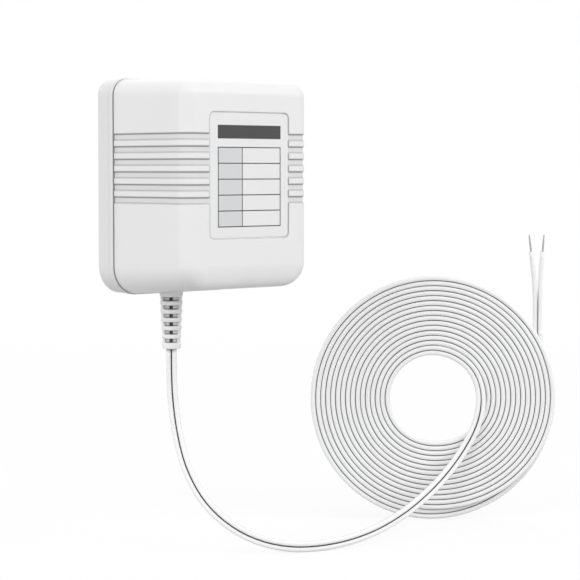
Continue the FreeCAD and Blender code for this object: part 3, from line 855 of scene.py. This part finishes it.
@dataclass
class RearCover(MouldedHalf):
    """Rear half with a proud rim beside the parting line and a rounded rear edge.

    The rows of the rim's foot are y past the rim, inset and painted shade.
    """

    edge_r: float = 0.8
    rim_w: float = 2.1
    rim_proud: float = 0.3
    rim_bevel: float = 0.1
    rim_bevel_mid: float = 0.03
    # Painted shade at the foot of the rim's step and in the parting gap beside it.
    rim_foot: tuple = ((0.02, -0.03, 0.7), (0.25, 0.0, 0.5), (0.45, 0.0, 0.0))
    rim_shade: float = 0.2
    seat_in: float = 1.4
    seat_shade_in: float = 0.3
    seat_shade: tuple = (0.6, 0.5, 0.1)
    side_end: float = -3.6
    inner_room: float = 1.0
    inner_r: float = 0.3
    level_rows: tuple = (-30.0, 26.0, 15)
    face_places: int = 15

    def profile(self, wall: float) -> np.ndarray:
        """Side from the parting plane over the rim to the rounded rear edge.

        Args:
            wall: how far the profile lies inside the outer skin; 0 is the outer skin.

        Returns:
            Rows of y, inset, share and painted shade.
        """
        start, proud = self.parting_y, self.rim_proud
        end = start + self.rim_w
        deep, middle, shallow = self.seat_shade
        sides = np.array([
            (start, self.seat_in, deep),
            (start, self.seat_shade_in - proud, middle),
            (start, self.bevel - proud, shallow),
            (start + self.bevel_mid, self.bevel_mid - proud, 0.0),
            (start + self.bevel, -proud, 0.0),
            (end - self.rim_bevel, -proud, 0.0),
            (end - self.rim_bevel_mid, self.bevel_mid - proud, 0.0),
            (end, self.rim_bevel - proud, self.rim_shade),
            *[(end + past, inset, painted_shade) for past, inset, painted_shade in self.rim_foot],
            (self.side_end, 0.0, 0.0),
        ])
        if wall > 0.0:
            sides[:, 1] = wall
            sides[:, 0] = np.minimum(sides[:, 0], -wall - self.inner_room)
        made = self.rounded_profile(sides, 0.0, 1.0, max(self.edge_r - wall, self.inner_r), wall)
        made[len(sides):, 3] = 0.0
        return made

    def build(self) -> bpy.types.Object:
        """Closed rear cover in place of its node.

        Returns:
            The piece.
        """
        levels = np.linspace(*self.level_rows)
        spread = np.linspace(0.0, 1.0, self.face_places)
        outer = self.skin(self.profile(0.0), 1.0, levels, spread)
        inner = self.skin(self.profile(self.wall), 1.0, levels, spread)
        # painted shade from the profile, none on the flat rear face
        painted_shade = outer.weight * ~outer.on_face
        shape, shell_shade = thick_shell(outer.points, inner.points, outer.quads, painted_shade)
        return new_piece("back_cover", shape, COVER_PLASTIC, ("rear_cover",), shell_shade)


# Label


@dataclass
class RatingLabel:
    """Plain ruled table printed on the label."""

    face_y: float = -47.4
    ink_t: float = 0.03
    head: tuple = (-14.5, 14.5, 12.6, 17.2)
    rule_x: float = 14.5
    rule_t: float = 0.34
    rule_levels: tuple = (9.6, 4.2, -1.2, -6.6, -12.0, -17.4)
    divider_x: float = -3.4

    def slab(self, x0: float, x1: float, z0: float, z1: float) -> Shape:
        """Thin closed slab of ink on the label's face.

        Args:
            x0: left edge.
            x1: right edge.
            z0: lower edge.
            z1: upper edge.

        Returns:
            Points and faces.
        """
        x, y, z = np.meshgrid([x0, x1], [self.face_y, self.face_y - self.ink_t], [z0, z1], indexing="ij")
        quads = np.array([
            (0, 1, 5, 4), (2, 6, 7, 3), (0, 2, 3, 1), (4, 5, 7, 6), (0, 4, 6, 2), (1, 3, 7, 5)])
        return np.stack([x, y, z], axis=-1).reshape(-1, 3), [quads[:, ::-1]]

    def build(self) -> None:
        """Ruled lines with a dark head, and a grey field in each left cell."""
        half = self.rule_t / 2.0
        levels = self.rule_levels
        lines = [self.slab(*self.head)]
        lines += [self.slab(-self.rule_x, self.rule_x, level - half, level + half) for level in levels]
        for x in (-self.rule_x + half, self.divider_x, self.rule_x - half):
            lines.append(self.slab(x - half, x + half, levels[-1], levels[0]))
        self.printed("label_rules", lines, PRINT_INK)
        left, right = -self.rule_x + self.rule_t, self.divider_x - half
        cells = zip(levels[:-1], levels[1:])
        fields = [self.slab(left, right, low + half, high - half) for high, low in cells]
        self.printed("label_fields", fields, FIELD_INK)

    @staticmethod
    def printed(name: str, slabs: list[Shape], ink: Finish) -> None:
        """Flat-shaded piece made of slabs of one ink."""
        piece = new_piece(name, joined(slabs), ink)
        piece.data.polygons.foreach_set("use_smooth", np.zeros(len(piece.data.polygons), dtype=bool))


# Cord and strain relief


@dataclass
class CordFrame:
    """Frame that the cord hangs and lies in: across, behind and up, turned about +Z."""

    turn: float = 43.4
    relief_y: float = -5.4

    def behind(self) -> np.ndarray:
        """Direction away from the viewer."""
        angle = np.radians(self.turn)
        return np.array([np.sin(angle), np.cos(angle), 0.0])

    def across(self) -> np.ndarray:
        """Direction to the viewer's right."""
        angle = np.radians(self.turn)
        return np.array([np.cos(angle), -np.sin(angle), 0.0])

    def place(self, points: np.ndarray) -> np.ndarray:
        """Points given across, behind and up, in the part's frame."""
        turned = points[:, :1] * self.across() + points[:, 1:2] * self.behind()
        return turned + points[:, 2:] * [0.0, 0.0, 1.0] + [0.0, self.relief_y, 0.0]


@dataclass
class StrainRelief(CordFrame):
    """Tapering sleeve of ribs joined by two side rails and a web."""

    z_top: float = -41.5
    length: float = 20.8
    top_d: float = 8.5
    end_d: float = 6.8
    root_in: float = 1.0
    slot_count: int = 6
    slot_pitch: float = 3.0
    slot_h: float = 1.45
    first_slot: float = 2.8
    rib_round: float = 0.42
    bore_r: float = 1.0
    rail_t: float = 1.2
    rail_w: float = 2.9
    rail_sunk: float = 0.3
    bar_in: float = 0.6
    web_t: float = 1.2
    # Painted shade: on the ribs towards the bore inside the slots, faint on the rails and web, on the web by
    # the slot edges and along its middle.
    slot_shade_amount: float = 0.85
    shade_in: float = 0.22
    shade_soft: float = 0.4
    bar_shade: float = 0.06
    shade_reach: float = 0.7
    around: int = 64
    round_steps: int = 5
    bar_sides: int = 24
    rail_rows: int = 12
    web_rows: int = 120

    def radius(self, drop: np.ndarray) -> np.ndarray:
        """Outer radius at a drop below the housing, a straight taper."""
        return (self.top_d + (self.end_d - self.top_d) * drop / self.length) / 2.0

    def slot_centres(self) -> np.ndarray:
        """Middle of each slot as a drop below the housing."""
        return self.first_slot + self.slot_pitch * np.arange(self.slot_count)

    def slot_shade(self, z: np.ndarray) -> np.ndarray:
        """Painted shade inside the slots at given heights: 0 in the middle of a slot, 1 at its edges."""
        away = np.abs(self.z_top - z[:, None] - self.slot_centres()).min(axis=1)
        return soft_step(away, self.slot_h / 2.0 - self.shade_in, self.shade_soft)

    def rib(self, start: float, end: float) -> Shape:
        """Rib turned about the sleeve's axis, its outer edges rounded.

        The profile is a rectangle from the bore out to the taper, with a quarter circle at each outer corner.

        Args:
            start: upper end as a drop below the housing.
            end: lower end.

        Returns:
            Points and faces.
        """
        angle = arc(0.0, 90.0, self.round_steps)
        by_sine = self.rib_round * (1.0 - np.sin(angle))
        by_cosine = self.rib_round * (1.0 - np.cos(angle))
        upper_r, lower_r = self.radius(start) - by_sine, self.radius(end) - by_cosine
        reach = np.concatenate([[self.bore_r], upper_r, lower_r, [self.bore_r]])
        drop = np.concatenate([[start], start + by_cosine, end - by_sine, [end]])
        spin = round_angles(self.around)[:, None]
        rings = np.stack([
            reach * np.cos(spin), self.relief_y + reach * np.sin(spin),
            np.broadcast_to(self.z_top - drop, (self.around, len(reach)))], axis=-1)
        points = np.concatenate([rings, rings[:1]]).reshape(-1, 3)
        first, place = merged(points)
        return points[first], [place[grid_quads(self.around + 1, len(reach), closed=True)]]

    def bar(self, side: float, rows: int, half_w: Optional[float], half_t: float) -> Shape:
        """Bar carried down the taper, its outline the square root of the cosine and of the sine.

        Args:
            side: -1 along the left rail, 0 in the middle, 1 along the right rail.
            rows: points of its path.
            half_w: half of its width, or None where it reaches from rail to rail.
            half_t: half of its thickness, from front to back.

        Returns:
            Points and faces.
        """
        drop = np.linspace(self.bar_in, self.length - self.bar_in, rows)
        out = self.radius(drop) - self.rail_sunk - self.rail_t / 2.0
        path = self.place(np.stack([side * out, np.zeros_like(drop), self.z_top - drop], axis=-1))
        outline = directions(round_angles(self.bar_sides))
        first, second = (np.sign(outline) * np.sqrt(np.abs(outline))).T
        wide = (out if half_w is None else np.full_like(out, half_w))[:, None] * first
        section = np.stack([wide, np.broadcast_to(half_t * second, wide.shape)], axis=-1)
        return carried(path, section, self.behind())

    def build(self) -> bpy.types.Object:
        """Sleeve in place of its node.

        Returns:
            The piece.
        """
        starts = np.concatenate([[-self.root_in], self.slot_centres() + self.slot_h / 2.0])
        ends = np.concatenate([self.slot_centres() - self.slot_h / 2.0, [self.length]])
        ribs = [self.rib(start, end) for start, end in zip(starts, ends)]
        rails = [self.bar(side, self.rail_rows, self.rail_t / 2.0, self.rail_w / 2.0) for side in (-1.0, 1.0)]
        web = self.bar(0.0, self.web_rows, None, self.web_t / 2.0)
        shape = joined([*ribs, *rails, web])
        x, y, z = shape[0].T
        from_axis = np.hypot(x, y - self.relief_y)
        # painted shade: deeper inside the slots, faint on rails and web, the web darker at slot edges and
        # along its middle
        inside = self.radius(self.z_top - z) - from_axis
        painted_shade = self.slot_shade_amount * soft_step(inside, self.shade_reach, self.shade_reach)
        painted_shade[sum(len(rib) for rib, _ in ribs):] = self.bar_shade
        web_shade = self.slot_shade_amount * self.slot_shade(web[0][:, 2])
        web_shade[from_axis[-len(web_shade):] < self.web_t] = 1.0
        painted_shade[-len(web_shade):] = web_shade
        return new_piece("ribbed_sleeve", shape, RELIEF_VINYL, ("strain_relief",), painted_shade)


@dataclass
class TwinCord(CordFrame):
    """Flat twin cord from the strain relief to its split, stripped end.

    Routes are points across, behind and up. Each core's bends are its name, its side, and the places
    across and up of its bend and of its cut insulation. The three lists on the half outline of a lobe
    are its angles in degrees, and how much of the painted shade in the groove and at the edge each point
    takes.
    """

    width: float = 3.83
    lobe_r: float = 0.957
    neck: float = 0.30
    lobe_power: float = 0.65
    exit_z: float = -62.3
    inner_z: float = -31.0
    exit_overlap: float = 0.2
    real_length: float = 1.88
    coil_centre: tuple = (98.2, 54.5, -86.4)
    coil_start_r: float = 18.6
    coil_pitch: float = 3.85
    coil_start: float = 100.0
    coil_end: float = 20.0
    rings: int = 8
    step_middle: float = 310.0
    step_span: float = 90.0
    tuck: float = 2.05
    tuck_middle: float = 270.0
    tuck_span: float = 50.0
    core_r: float = 0.9
    core_offset: float = 0.925
    core_straight: float = 13.7
    split_root: float = 2.0
    bare_r: float = 0.4
    bare_l: float = 6.6
    bare_root: float = 1.0
    strand_count: int = 6
    strand_relief: float = 0.1
    strand_twist: float = 0.9
    tip_taper: float = 0.8
    taper_l: float = 8.8
    lead_route: tuple = (
        (0.0, 0.0, -62.3),
        (0.0, 0.0, -69.5),
        (0.3, -0.5, -79.5),
        (1.9, -2.0, -92.5),
        (5.5, -5.0, -106.0),
        (13.5, -9.5, -118.8),
        (26.5, -13.5, -128.0),
        (41.5, -14.5, -132.1),
        (57.0, -9.5, -132.1),
        (71.5, 3.0, -130.3),
        (84.0, 21.5, -127.0),
        (94.0, 38.0, -122.5),
        (102.7, 46.5, -115.5),
        (109.7, 50.3, -106.8),
        (114.8, 51.9, -97.8),
        (117.0, 52.9, -89.2),
        (116.4, 54.2, -80.9),
        (112.7, 54.5, -74.0),
        (106.3, 54.5, -69.4),
        (99.8, 54.5, -67.7),
    )
    tail_route: tuple = ((139.6, 56.4, -67.0), (138.9, 56.0, -63.5), (138.7, 55.6, -60.2))
    core_bends: tuple = (
        ("a", -1.0, (137.2, -38.5), (136.1, -29.7)),
        ("b", 1.0, (139.8, -38.5), (140.5, -29.7)),
    )
    lobe_angles: tuple = (0, 18, 30, 42, 60, 80, 105, 122, 134, 147, 158)
    # painted shade in the groove and on the edges where turns touch
    groove_shade: tuple = (0, 0, 0, 0, 0, 0, 0.003, 0.02, 0.05, 0.4, 1)
    edge_shade: tuple = (1, 1, 0.5, 0, 0, 0, 0, 0, 0, 0, 0)
    # Painted shade: where the two cores face each other near the split, widened in the groove inside the
    # sleeve and in the lead, on edges where turns touch, and a faint trace elsewhere.
    part_edge: float = 0.8
    part_soft: float = 0.25
    part_fade: float = 8.0
    stub_groove: float = 60.0
    lead_groove: float = 2.0
    inner_dark: tuple = (0.78, 7.47)
    outer_dark: tuple = (-0.3, 6.53)
    shade_fade: float = 0.12
    edge_trace: float = 0.1
    points_per_turn: int = 24
    cord_steps: int = 5
    core_steps: int = 6
    core_sides: int = 28
    bare_sides: int = 48
    bare_rows: int = 40
    stub_rows: int = 180

    def section(self) -> tuple[np.ndarray, np.ndarray]:
        """Outline of two round lobes side by side with a groove between, and its painted shade values.

        Each lobe is a circle left open towards the other, made fuller by a power of the sine; two groove
        points join them. The lobe on the positive side lies towards the middle of the coil.

        Returns:
            Points of the outline, and painted shade from 0 to 1 for the groove, the inner edge and the outer
            edge.
        """
        half = np.radians(self.lobe_angles)
        angle = np.concatenate([-half[:0:-1], half])
        groove = np.array(self.groove_shade[:0:-1] + self.groove_shade)
        edge = np.array(self.edge_shade[:0:-1] + self.edge_shade)
        centre = self.width / 2.0 - self.lobe_r
        full = np.sign(angle) * np.abs(np.sin(angle))**self.lobe_power
        right = np.stack([centre + self.lobe_r * np.cos(angle), self.lobe_r * full], axis=-1)
        points = np.concatenate([right, [[0.0, self.neck]], -right, [[0.0, -self.neck]]])
        bare = np.zeros(len(angle) + 1)
        values = np.stack([
            np.concatenate([groove, [1.0], groove, [1.0]]),
            np.concatenate([edge, [0.0], bare]),
            np.concatenate([bare, edge, [0.0]])])
        return points, values

    def coil_route(self) -> np.ndarray:
        """Control points of the coil: even rings, each a soft step of one pitch outside the one before.

        The steps all lie at the same angle, where the lead crosses. The last ring's end takes no step: it
        is tucked behind the ring. The smooth line runs inside its control points by the cosine of half
        their spacing, so the radius is divided by that.

        Returns:
            Points across, behind and up.
        """
        turned_by = 360.0 * self.rings + self.coil_end - self.coil_start
        count = int(round(turned_by / 360.0 * self.points_per_turn)) + 1
        turned = np.linspace(self.coil_start, self.coil_start + turned_by, count)
        middles = self.step_middle + 360.0 * np.arange(self.rings - 1)
        rings = sum(soft_step(turned, middle, self.step_span) for middle in middles)
        reach = (self.coil_start_r + self.coil_pitch * rings) / np.cos(np.pi / self.points_per_turn)
        back = self.tuck * soft_step(turned, self.tuck_middle + 360.0 * (self.rings - 1), self.tuck_span)
        angle = np.radians(turned)
        across, behind, up = self.coil_centre
        return np.stack([across + reach * np.cos(angle), behind + back, up + reach * np.sin(angle)], axis=-1)

    def ribbon(
            self, name: str, path: np.ndarray, shades: tuple[np.ndarray, ...],
            stands_for: tuple[str, ...]) -> bpy.types.Object:
        """Cord carried along a path, with painted shade along its groove and edges.

        Args:
            name: name of the piece.
            path: points in the part's frame.
            shades: how much painted shade the groove, the inner edge, the outer edge and all of it take at
                each point.
            stands_for: nodes that it replaces.

        Returns:
            The piece.
        """
        outline, values = self.section()
        shade_values = sum(np.outer(shade, value) for shade, value in zip(shades, values))
        shade_values = np.clip(np.maximum(shade_values, shades[-1][:, None]), 0.0, 1.0)
        shade_values = np.concatenate([shade_values.ravel(), [0.0, 0.0]])
        return new_piece(name, carried(path, outline, self.behind()), CORD_VINYL, stands_for, shade_values)

    def turn_shades(self, path: np.ndarray) -> tuple[np.ndarray, ...]:
        """Painted shade on the cord's groove and its two edges along its path.

        An edge gets painted shade where another turn lies against it: the inner edge from the second ring
        on, the outer edge up to the last ring. Elsewhere it keeps a faint trace of it. The turns gone are the
        angle about the coil's middle, counted from the start of the coil. The groove's painted shade is
        darker in the lead.

        Args:
            path: points of the whole cord, across, behind and up.

        Returns:
            Values for the groove, the inner edge, the outer edge and all of the cord.
        """
        across, _, up = (path - np.array(self.coil_centre)).T
        angle = np.unwrap(np.arctan2(up, across))
        whole = np.round((angle[-1] - np.arctan2(up[-1], across[-1])) / FULL_TURN)
        turned = angle / FULL_TURN - whole + self.rings - self.coil_start / 360.0
        edges = []
        for start, end in (self.inner_dark, self.outer_dark):
            dark = soft_step(turned, start, self.shade_fade) * (1.0 - soft_step(turned, end, self.shade_fade))
            edges.append(np.maximum(dark, self.edge_trace))
        groove = 1.0 + self.lead_groove * (1.0 - soft_step(turned, self.outer_dark[0], self.shade_fade))
        return groove, *edges, np.zeros_like(turned)

    def core(self, name: str, side: float, bend: tuple, end: tuple) -> list[bpy.types.Object]:
        """One free core and the twisted strands that stand out of it.

        Args:
            name: a or b.
            side: -1 for the left core, 1 for the right.
            bend: place of the bend, across and up.
            end: place of the cut insulation, across and up.

        Returns:
            The core and its strands.
        """
        across, behind, up = self.tail_route[-1]
        start = across + side * self.core_offset
        route = self.place(np.array([
            (start, behind, up - self.split_root),
            (start, behind, up),
            (start, behind, up + self.core_straight),
            (bend[0], behind, bend[1]),
            (end[0], behind, end[1]),
        ]))
        path = spline_points(route, self.core_steps)
        outline = self.core_r * directions(round_angles(self.core_sides))
        # painted shade on the side of each core that faces the other, fading out above the split
        facing = soft_step(outline[:, 0] * side / self.core_r, self.part_edge, self.part_soft)
        together = 1.0 - soft_step(path[:, 2], up + self.core_straight, self.part_fade)
        shade_values = np.concatenate([np.outer(together, facing).ravel(), [0.0, 0.0]])
        core = new_piece(
            "free_core_" + name, carried(path, outline, self.behind()), CORE_VINYL,
            ("core_end_" + name,), shade_values)
        onward = (route[-1] - route[-2]) / np.linalg.norm(route[-1] - route[-2])
        reach = np.linspace(-self.bare_root, self.bare_l, self.bare_rows)[:, None]
        angle = round_angles(self.bare_sides)
        ripple = 1.0 - self.strand_relief + self.strand_relief * np.cos(self.strand_count * angle)
        taper = 1.0 - self.tip_taper * soft_step(reach, self.bare_l, self.taper_l)
        bundle = (taper * self.bare_r * ripple)[..., None] * directions(angle)
        strands = new_piece(
            "strands_" + name, carried(route[-1] + reach * onward, bundle, self.behind(), self.strand_twist),
            STRAND, ("bare_end_" + name,))
        return [core, strands]

    def build(self, sleeve: StrainRelief) -> bpy.types.Object:
        """Cord, its inner end and its free cores in place of their nodes.

        Args:
            sleeve: the strain relief that the cord comes out of.

        Returns:
            The cord.
        """
        route = np.concatenate([np.array(self.lead_route), self.coil_route(), np.array(self.tail_route)])
        line = spline_points(route, self.cord_steps)
        path = self.place(line)
        nodes = ("cord_lead", "cord_coil", "cord_tail")
        cord = self.ribbon("twin_cord", path, self.turn_shades(line), nodes)
        heights = np.linspace(self.inner_z, self.exit_z + self.exit_overlap, self.stub_rows)
        none = np.zeros_like(heights)
        # painted shade on the cord inside the sleeve: at the slot edges, and a wide dark groove
        dark = sleeve.slot_shade_amount * sleeve.slot_shade(heights)
        shades = (np.full_like(heights, self.stub_groove), none, none, dark)
        inner_path = self.place(np.stack([none, none, heights], axis=-1))
        self.ribbon("cord_in_sleeve", inner_path, shades, ("cord_stub",))
        ends = [piece for core in self.core_bends for piece in self.core(*core)]
        log.info("cord length %.3f m", path_length(path)[-1] * MM)
        return cord


# Plug blades


@dataclass
class PlugBlades:
    """The two plug blades of the frame, with a soft edge."""

    names: tuple = ("left_blade", "right_blade")
    weld_gap: float = 0.001
    edge_bevel: float = 0.12
    bevel_steps: int = 2

    def soften(self, nodes: dict[str, bpy.types.Object]) -> None:
        """Weld each blade's mesh and bevel its edges.

        Args:
            nodes: the frame's nodes by name.
        """
        for name in self.names:
            weld = nodes[name].modifiers.new("weld", "WELD")
            weld.merge_threshold = self.weld_gap * MM
            soft = nodes[name].modifiers.new("soften", "BEVEL")
            soft.width = self.edge_bevel * MM
            soft.segments = self.bevel_steps
            soft.limit_method = "ANGLE"


# Camera, light and floor


@dataclass
class Viewpoint:
    """Camera at the photograph's viewing angle, placed in metres and turned in degrees."""

    position: tuple = (-0.46245, -0.55660, 0.00211)
    heading: float = -43.4
    drop: float = 3.45
    lens: float = 124.14
    sensor: float = 36.0
    nearest: float = 0.02
    farthest: float = 60.0

    def build(self) -> None:
        """Camera of the scene."""
        data = bpy.data.cameras.new("viewpoint")
        data.lens = self.lens
        data.sensor_width = self.sensor
        data.clip_start = self.nearest
        data.clip_end = self.farthest
        camera = bpy.data.objects.new("viewpoint", data)
        camera.location = self.position
        camera.rotation_euler = np.radians([90.0 - self.drop, 0.0, self.heading])
        bpy.context.scene.collection.objects.link(camera)
        bpy.context.scene.camera = camera


@dataclass(frozen=True)
class Softbox:
    """Square lamp that looks at the housing, placed in metres."""

    name: str
    position: tuple
    power: float
    size: float = 1.2

    def build(self) -> None:
        """Area lamp turned towards the origin."""
        data = bpy.data.lights.new(self.name, "AREA")
        data.size = self.size
        data.energy = self.power
        lamp = bpy.data.objects.new(self.name, data)
        lamp.location = self.position
        x, y, z = self.position
        lamp.rotation_euler = (np.arctan2(np.hypot(x, y), z), 0.0, np.arctan2(y, x) + np.pi / 2.0)
        bpy.context.scene.collection.objects.link(lamp)


@dataclass
class Studio:
    """Pale floor, white surround and soft lamps; the glow's reach is in metres."""

    floor_z: float = -134.0
    floor_half: float = 9000.0
    floor_points: int = 5
    floor_rough: float = 0.9
    floor_shine: float = 0.1
    floor_bounce: float = 0.4
    floor_seen: float = 0.98
    floor_glow: float = 0.8
    glow_start: float = 0.35
    glow_full: float = 1.2
    surround: float = 0.72
    lamps: tuple = (
        Softbox("key", (0.55, -1.2, 0.65), 8.4),
        Softbox("fill", (-1.25, 0.12, 0.25), 6.6),
        Softbox("front", (-0.78, -0.95, 0.02), 3.2),
        Softbox("back", (0.6, 1.1, 0.8), 2.0),
    )

    @staticmethod
    def seen(tree: Tree) -> Socket:
        """1 for rays from the camera, mirrors and glass, otherwise 0.

        Args:
            tree: nodes of a material or of the world.

        Returns:
            The socket.
        """
        path = shader_node(tree, "LightPath")
        total = path.outputs["Is Camera Ray"]
        for name in ("Is Glossy Ray", "Is Transmission Ray"):
            inputs = {0: total, 1: path.outputs[name]}
            total = shader_node(tree, "Math", inputs, operation="MAXIMUM").outputs[0]
        return total

    def build_world(self) -> None:
        """White where it is seen, softer where it lights."""
        world = bpy.data.worlds.new("surround")
        bpy.context.scene.world = world
        world.use_nodes = True
        tree = world.node_tree
        light = tree.nodes["Background"]
        feed(tree, light, {"Color": WHITE, "Strength": self.surround})
        white = shader_node(tree, "Background", {"Color": WHITE, "Strength": 1.0})
        mix = shader_node(tree, "MixShader", {0: self.seen(tree), 1: light.outputs[0], 2: white.outputs[0]})
        feed(tree, tree.nodes["World Output"], {"Surface": mix.outputs[0]})

    def floor_paint(self) -> bpy.types.Material:
        """White paint that keeps a soft shadow: part of it glows and part is lit, and far off all glows.

        Returns:
            The material.
        """
        paint = bpy.data.materials.new("floor_paint")
        paint.use_nodes = True
        tree = paint.node_tree
        seen = self.seen(tree)
        bounce = {"Value": seen, "To Min": self.floor_bounce, "To Max": self.floor_seen}
        lit = tree.nodes["Principled BSDF"]
        feed(tree, lit, {
            "Roughness": self.floor_rough,
            "Specular IOR Level": self.floor_shine,
            "Base Color": shader_node(tree, "MapRange", bounce).outputs["Result"],
        })
        place = shader_node(tree, "TexCoord").outputs["Object"]
        away = shader_node(tree, "VectorMath", {0: place}, operation="LENGTH").outputs["Value"]
        fade = shader_node(tree, "MapRange", {
            "Value": away,
            "From Min": self.glow_start,
            "From Max": self.glow_full,
            "To Min": self.floor_glow,
            "To Max": 1.0,
        }, interpolation_type="SMOOTHSTEP").outputs["Result"]
        share = shader_node(tree, "Math", {0: seen, 1: fade}, operation="MULTIPLY").outputs[0]
        glow = shader_node(tree, "Emission").outputs[0]
        mix = shader_node(tree, "MixShader", {0: share, 1: lit.outputs[0], 2: glow})
        feed(tree, tree.nodes["Material Output"], {"Surface": mix.outputs[0]})
        return paint

    def build_floor(self) -> None:
        """Flat floor under the cord."""
        edge = np.linspace(-self.floor_half, self.floor_half, self.floor_points)
        x, y = np.meshgrid(edge, edge)
        points = np.stack([x.ravel(), y.ravel(), np.full(x.size, self.floor_z)], axis=-1) * MM
        mesh = bpy.data.meshes.new("floor")
        mesh.from_pydata(points.tolist(), [], grid_quads(self.floor_points, self.floor_points).tolist())
        mesh.materials.append(self.floor_paint())
        floor = bpy.data.objects.new("floor", mesh)
        bpy.context.scene.collection.objects.link(floor)

    def build(self) -> None:
        """World, floor and lamps."""
        self.build_world()
        self.build_floor()
        for lamp in self.lamps:
            lamp.build()
        bpy.context.scene.view_settings.view_transform = "Standard"


# Whole part


def dress_nodes(nodes: dict[str, bpy.types.Object]) -> None:
    """Give every node of the frame its finish.

    Args:
        nodes: the frame's nodes by name.
    """
    for finish, names in FINISHED_NODES.items():
        for name in names:
            nodes[name].data.materials.clear()
            nodes[name].data.materials.append(finish.material())
            log.info("node %s: %s", name, finish.name)


def clear_start_file() -> None:
    """Remove the objects that a new file starts with."""
    for start_object in list(bpy.data.objects):
        bpy.data.objects.remove(start_object)


def main() -> None:
    """Load the frame and build each sub-assembly in order."""
    logging.basicConfig(level=logging.INFO, format="%(message)s")
    clear_start_file()
    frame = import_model()
    Viewpoint().build()
    sleeve = StrainRelief()
    sleeve.build()
    TwinCord().build(sleeve)
    FrontShell().build()
    RearCover().build()
    RatingLabel().build()
    dress_nodes(frame["nodes"])
    PlugBlades().soften(frame["nodes"])
    Studio().build()


if __name__ == "__main__":
    main()
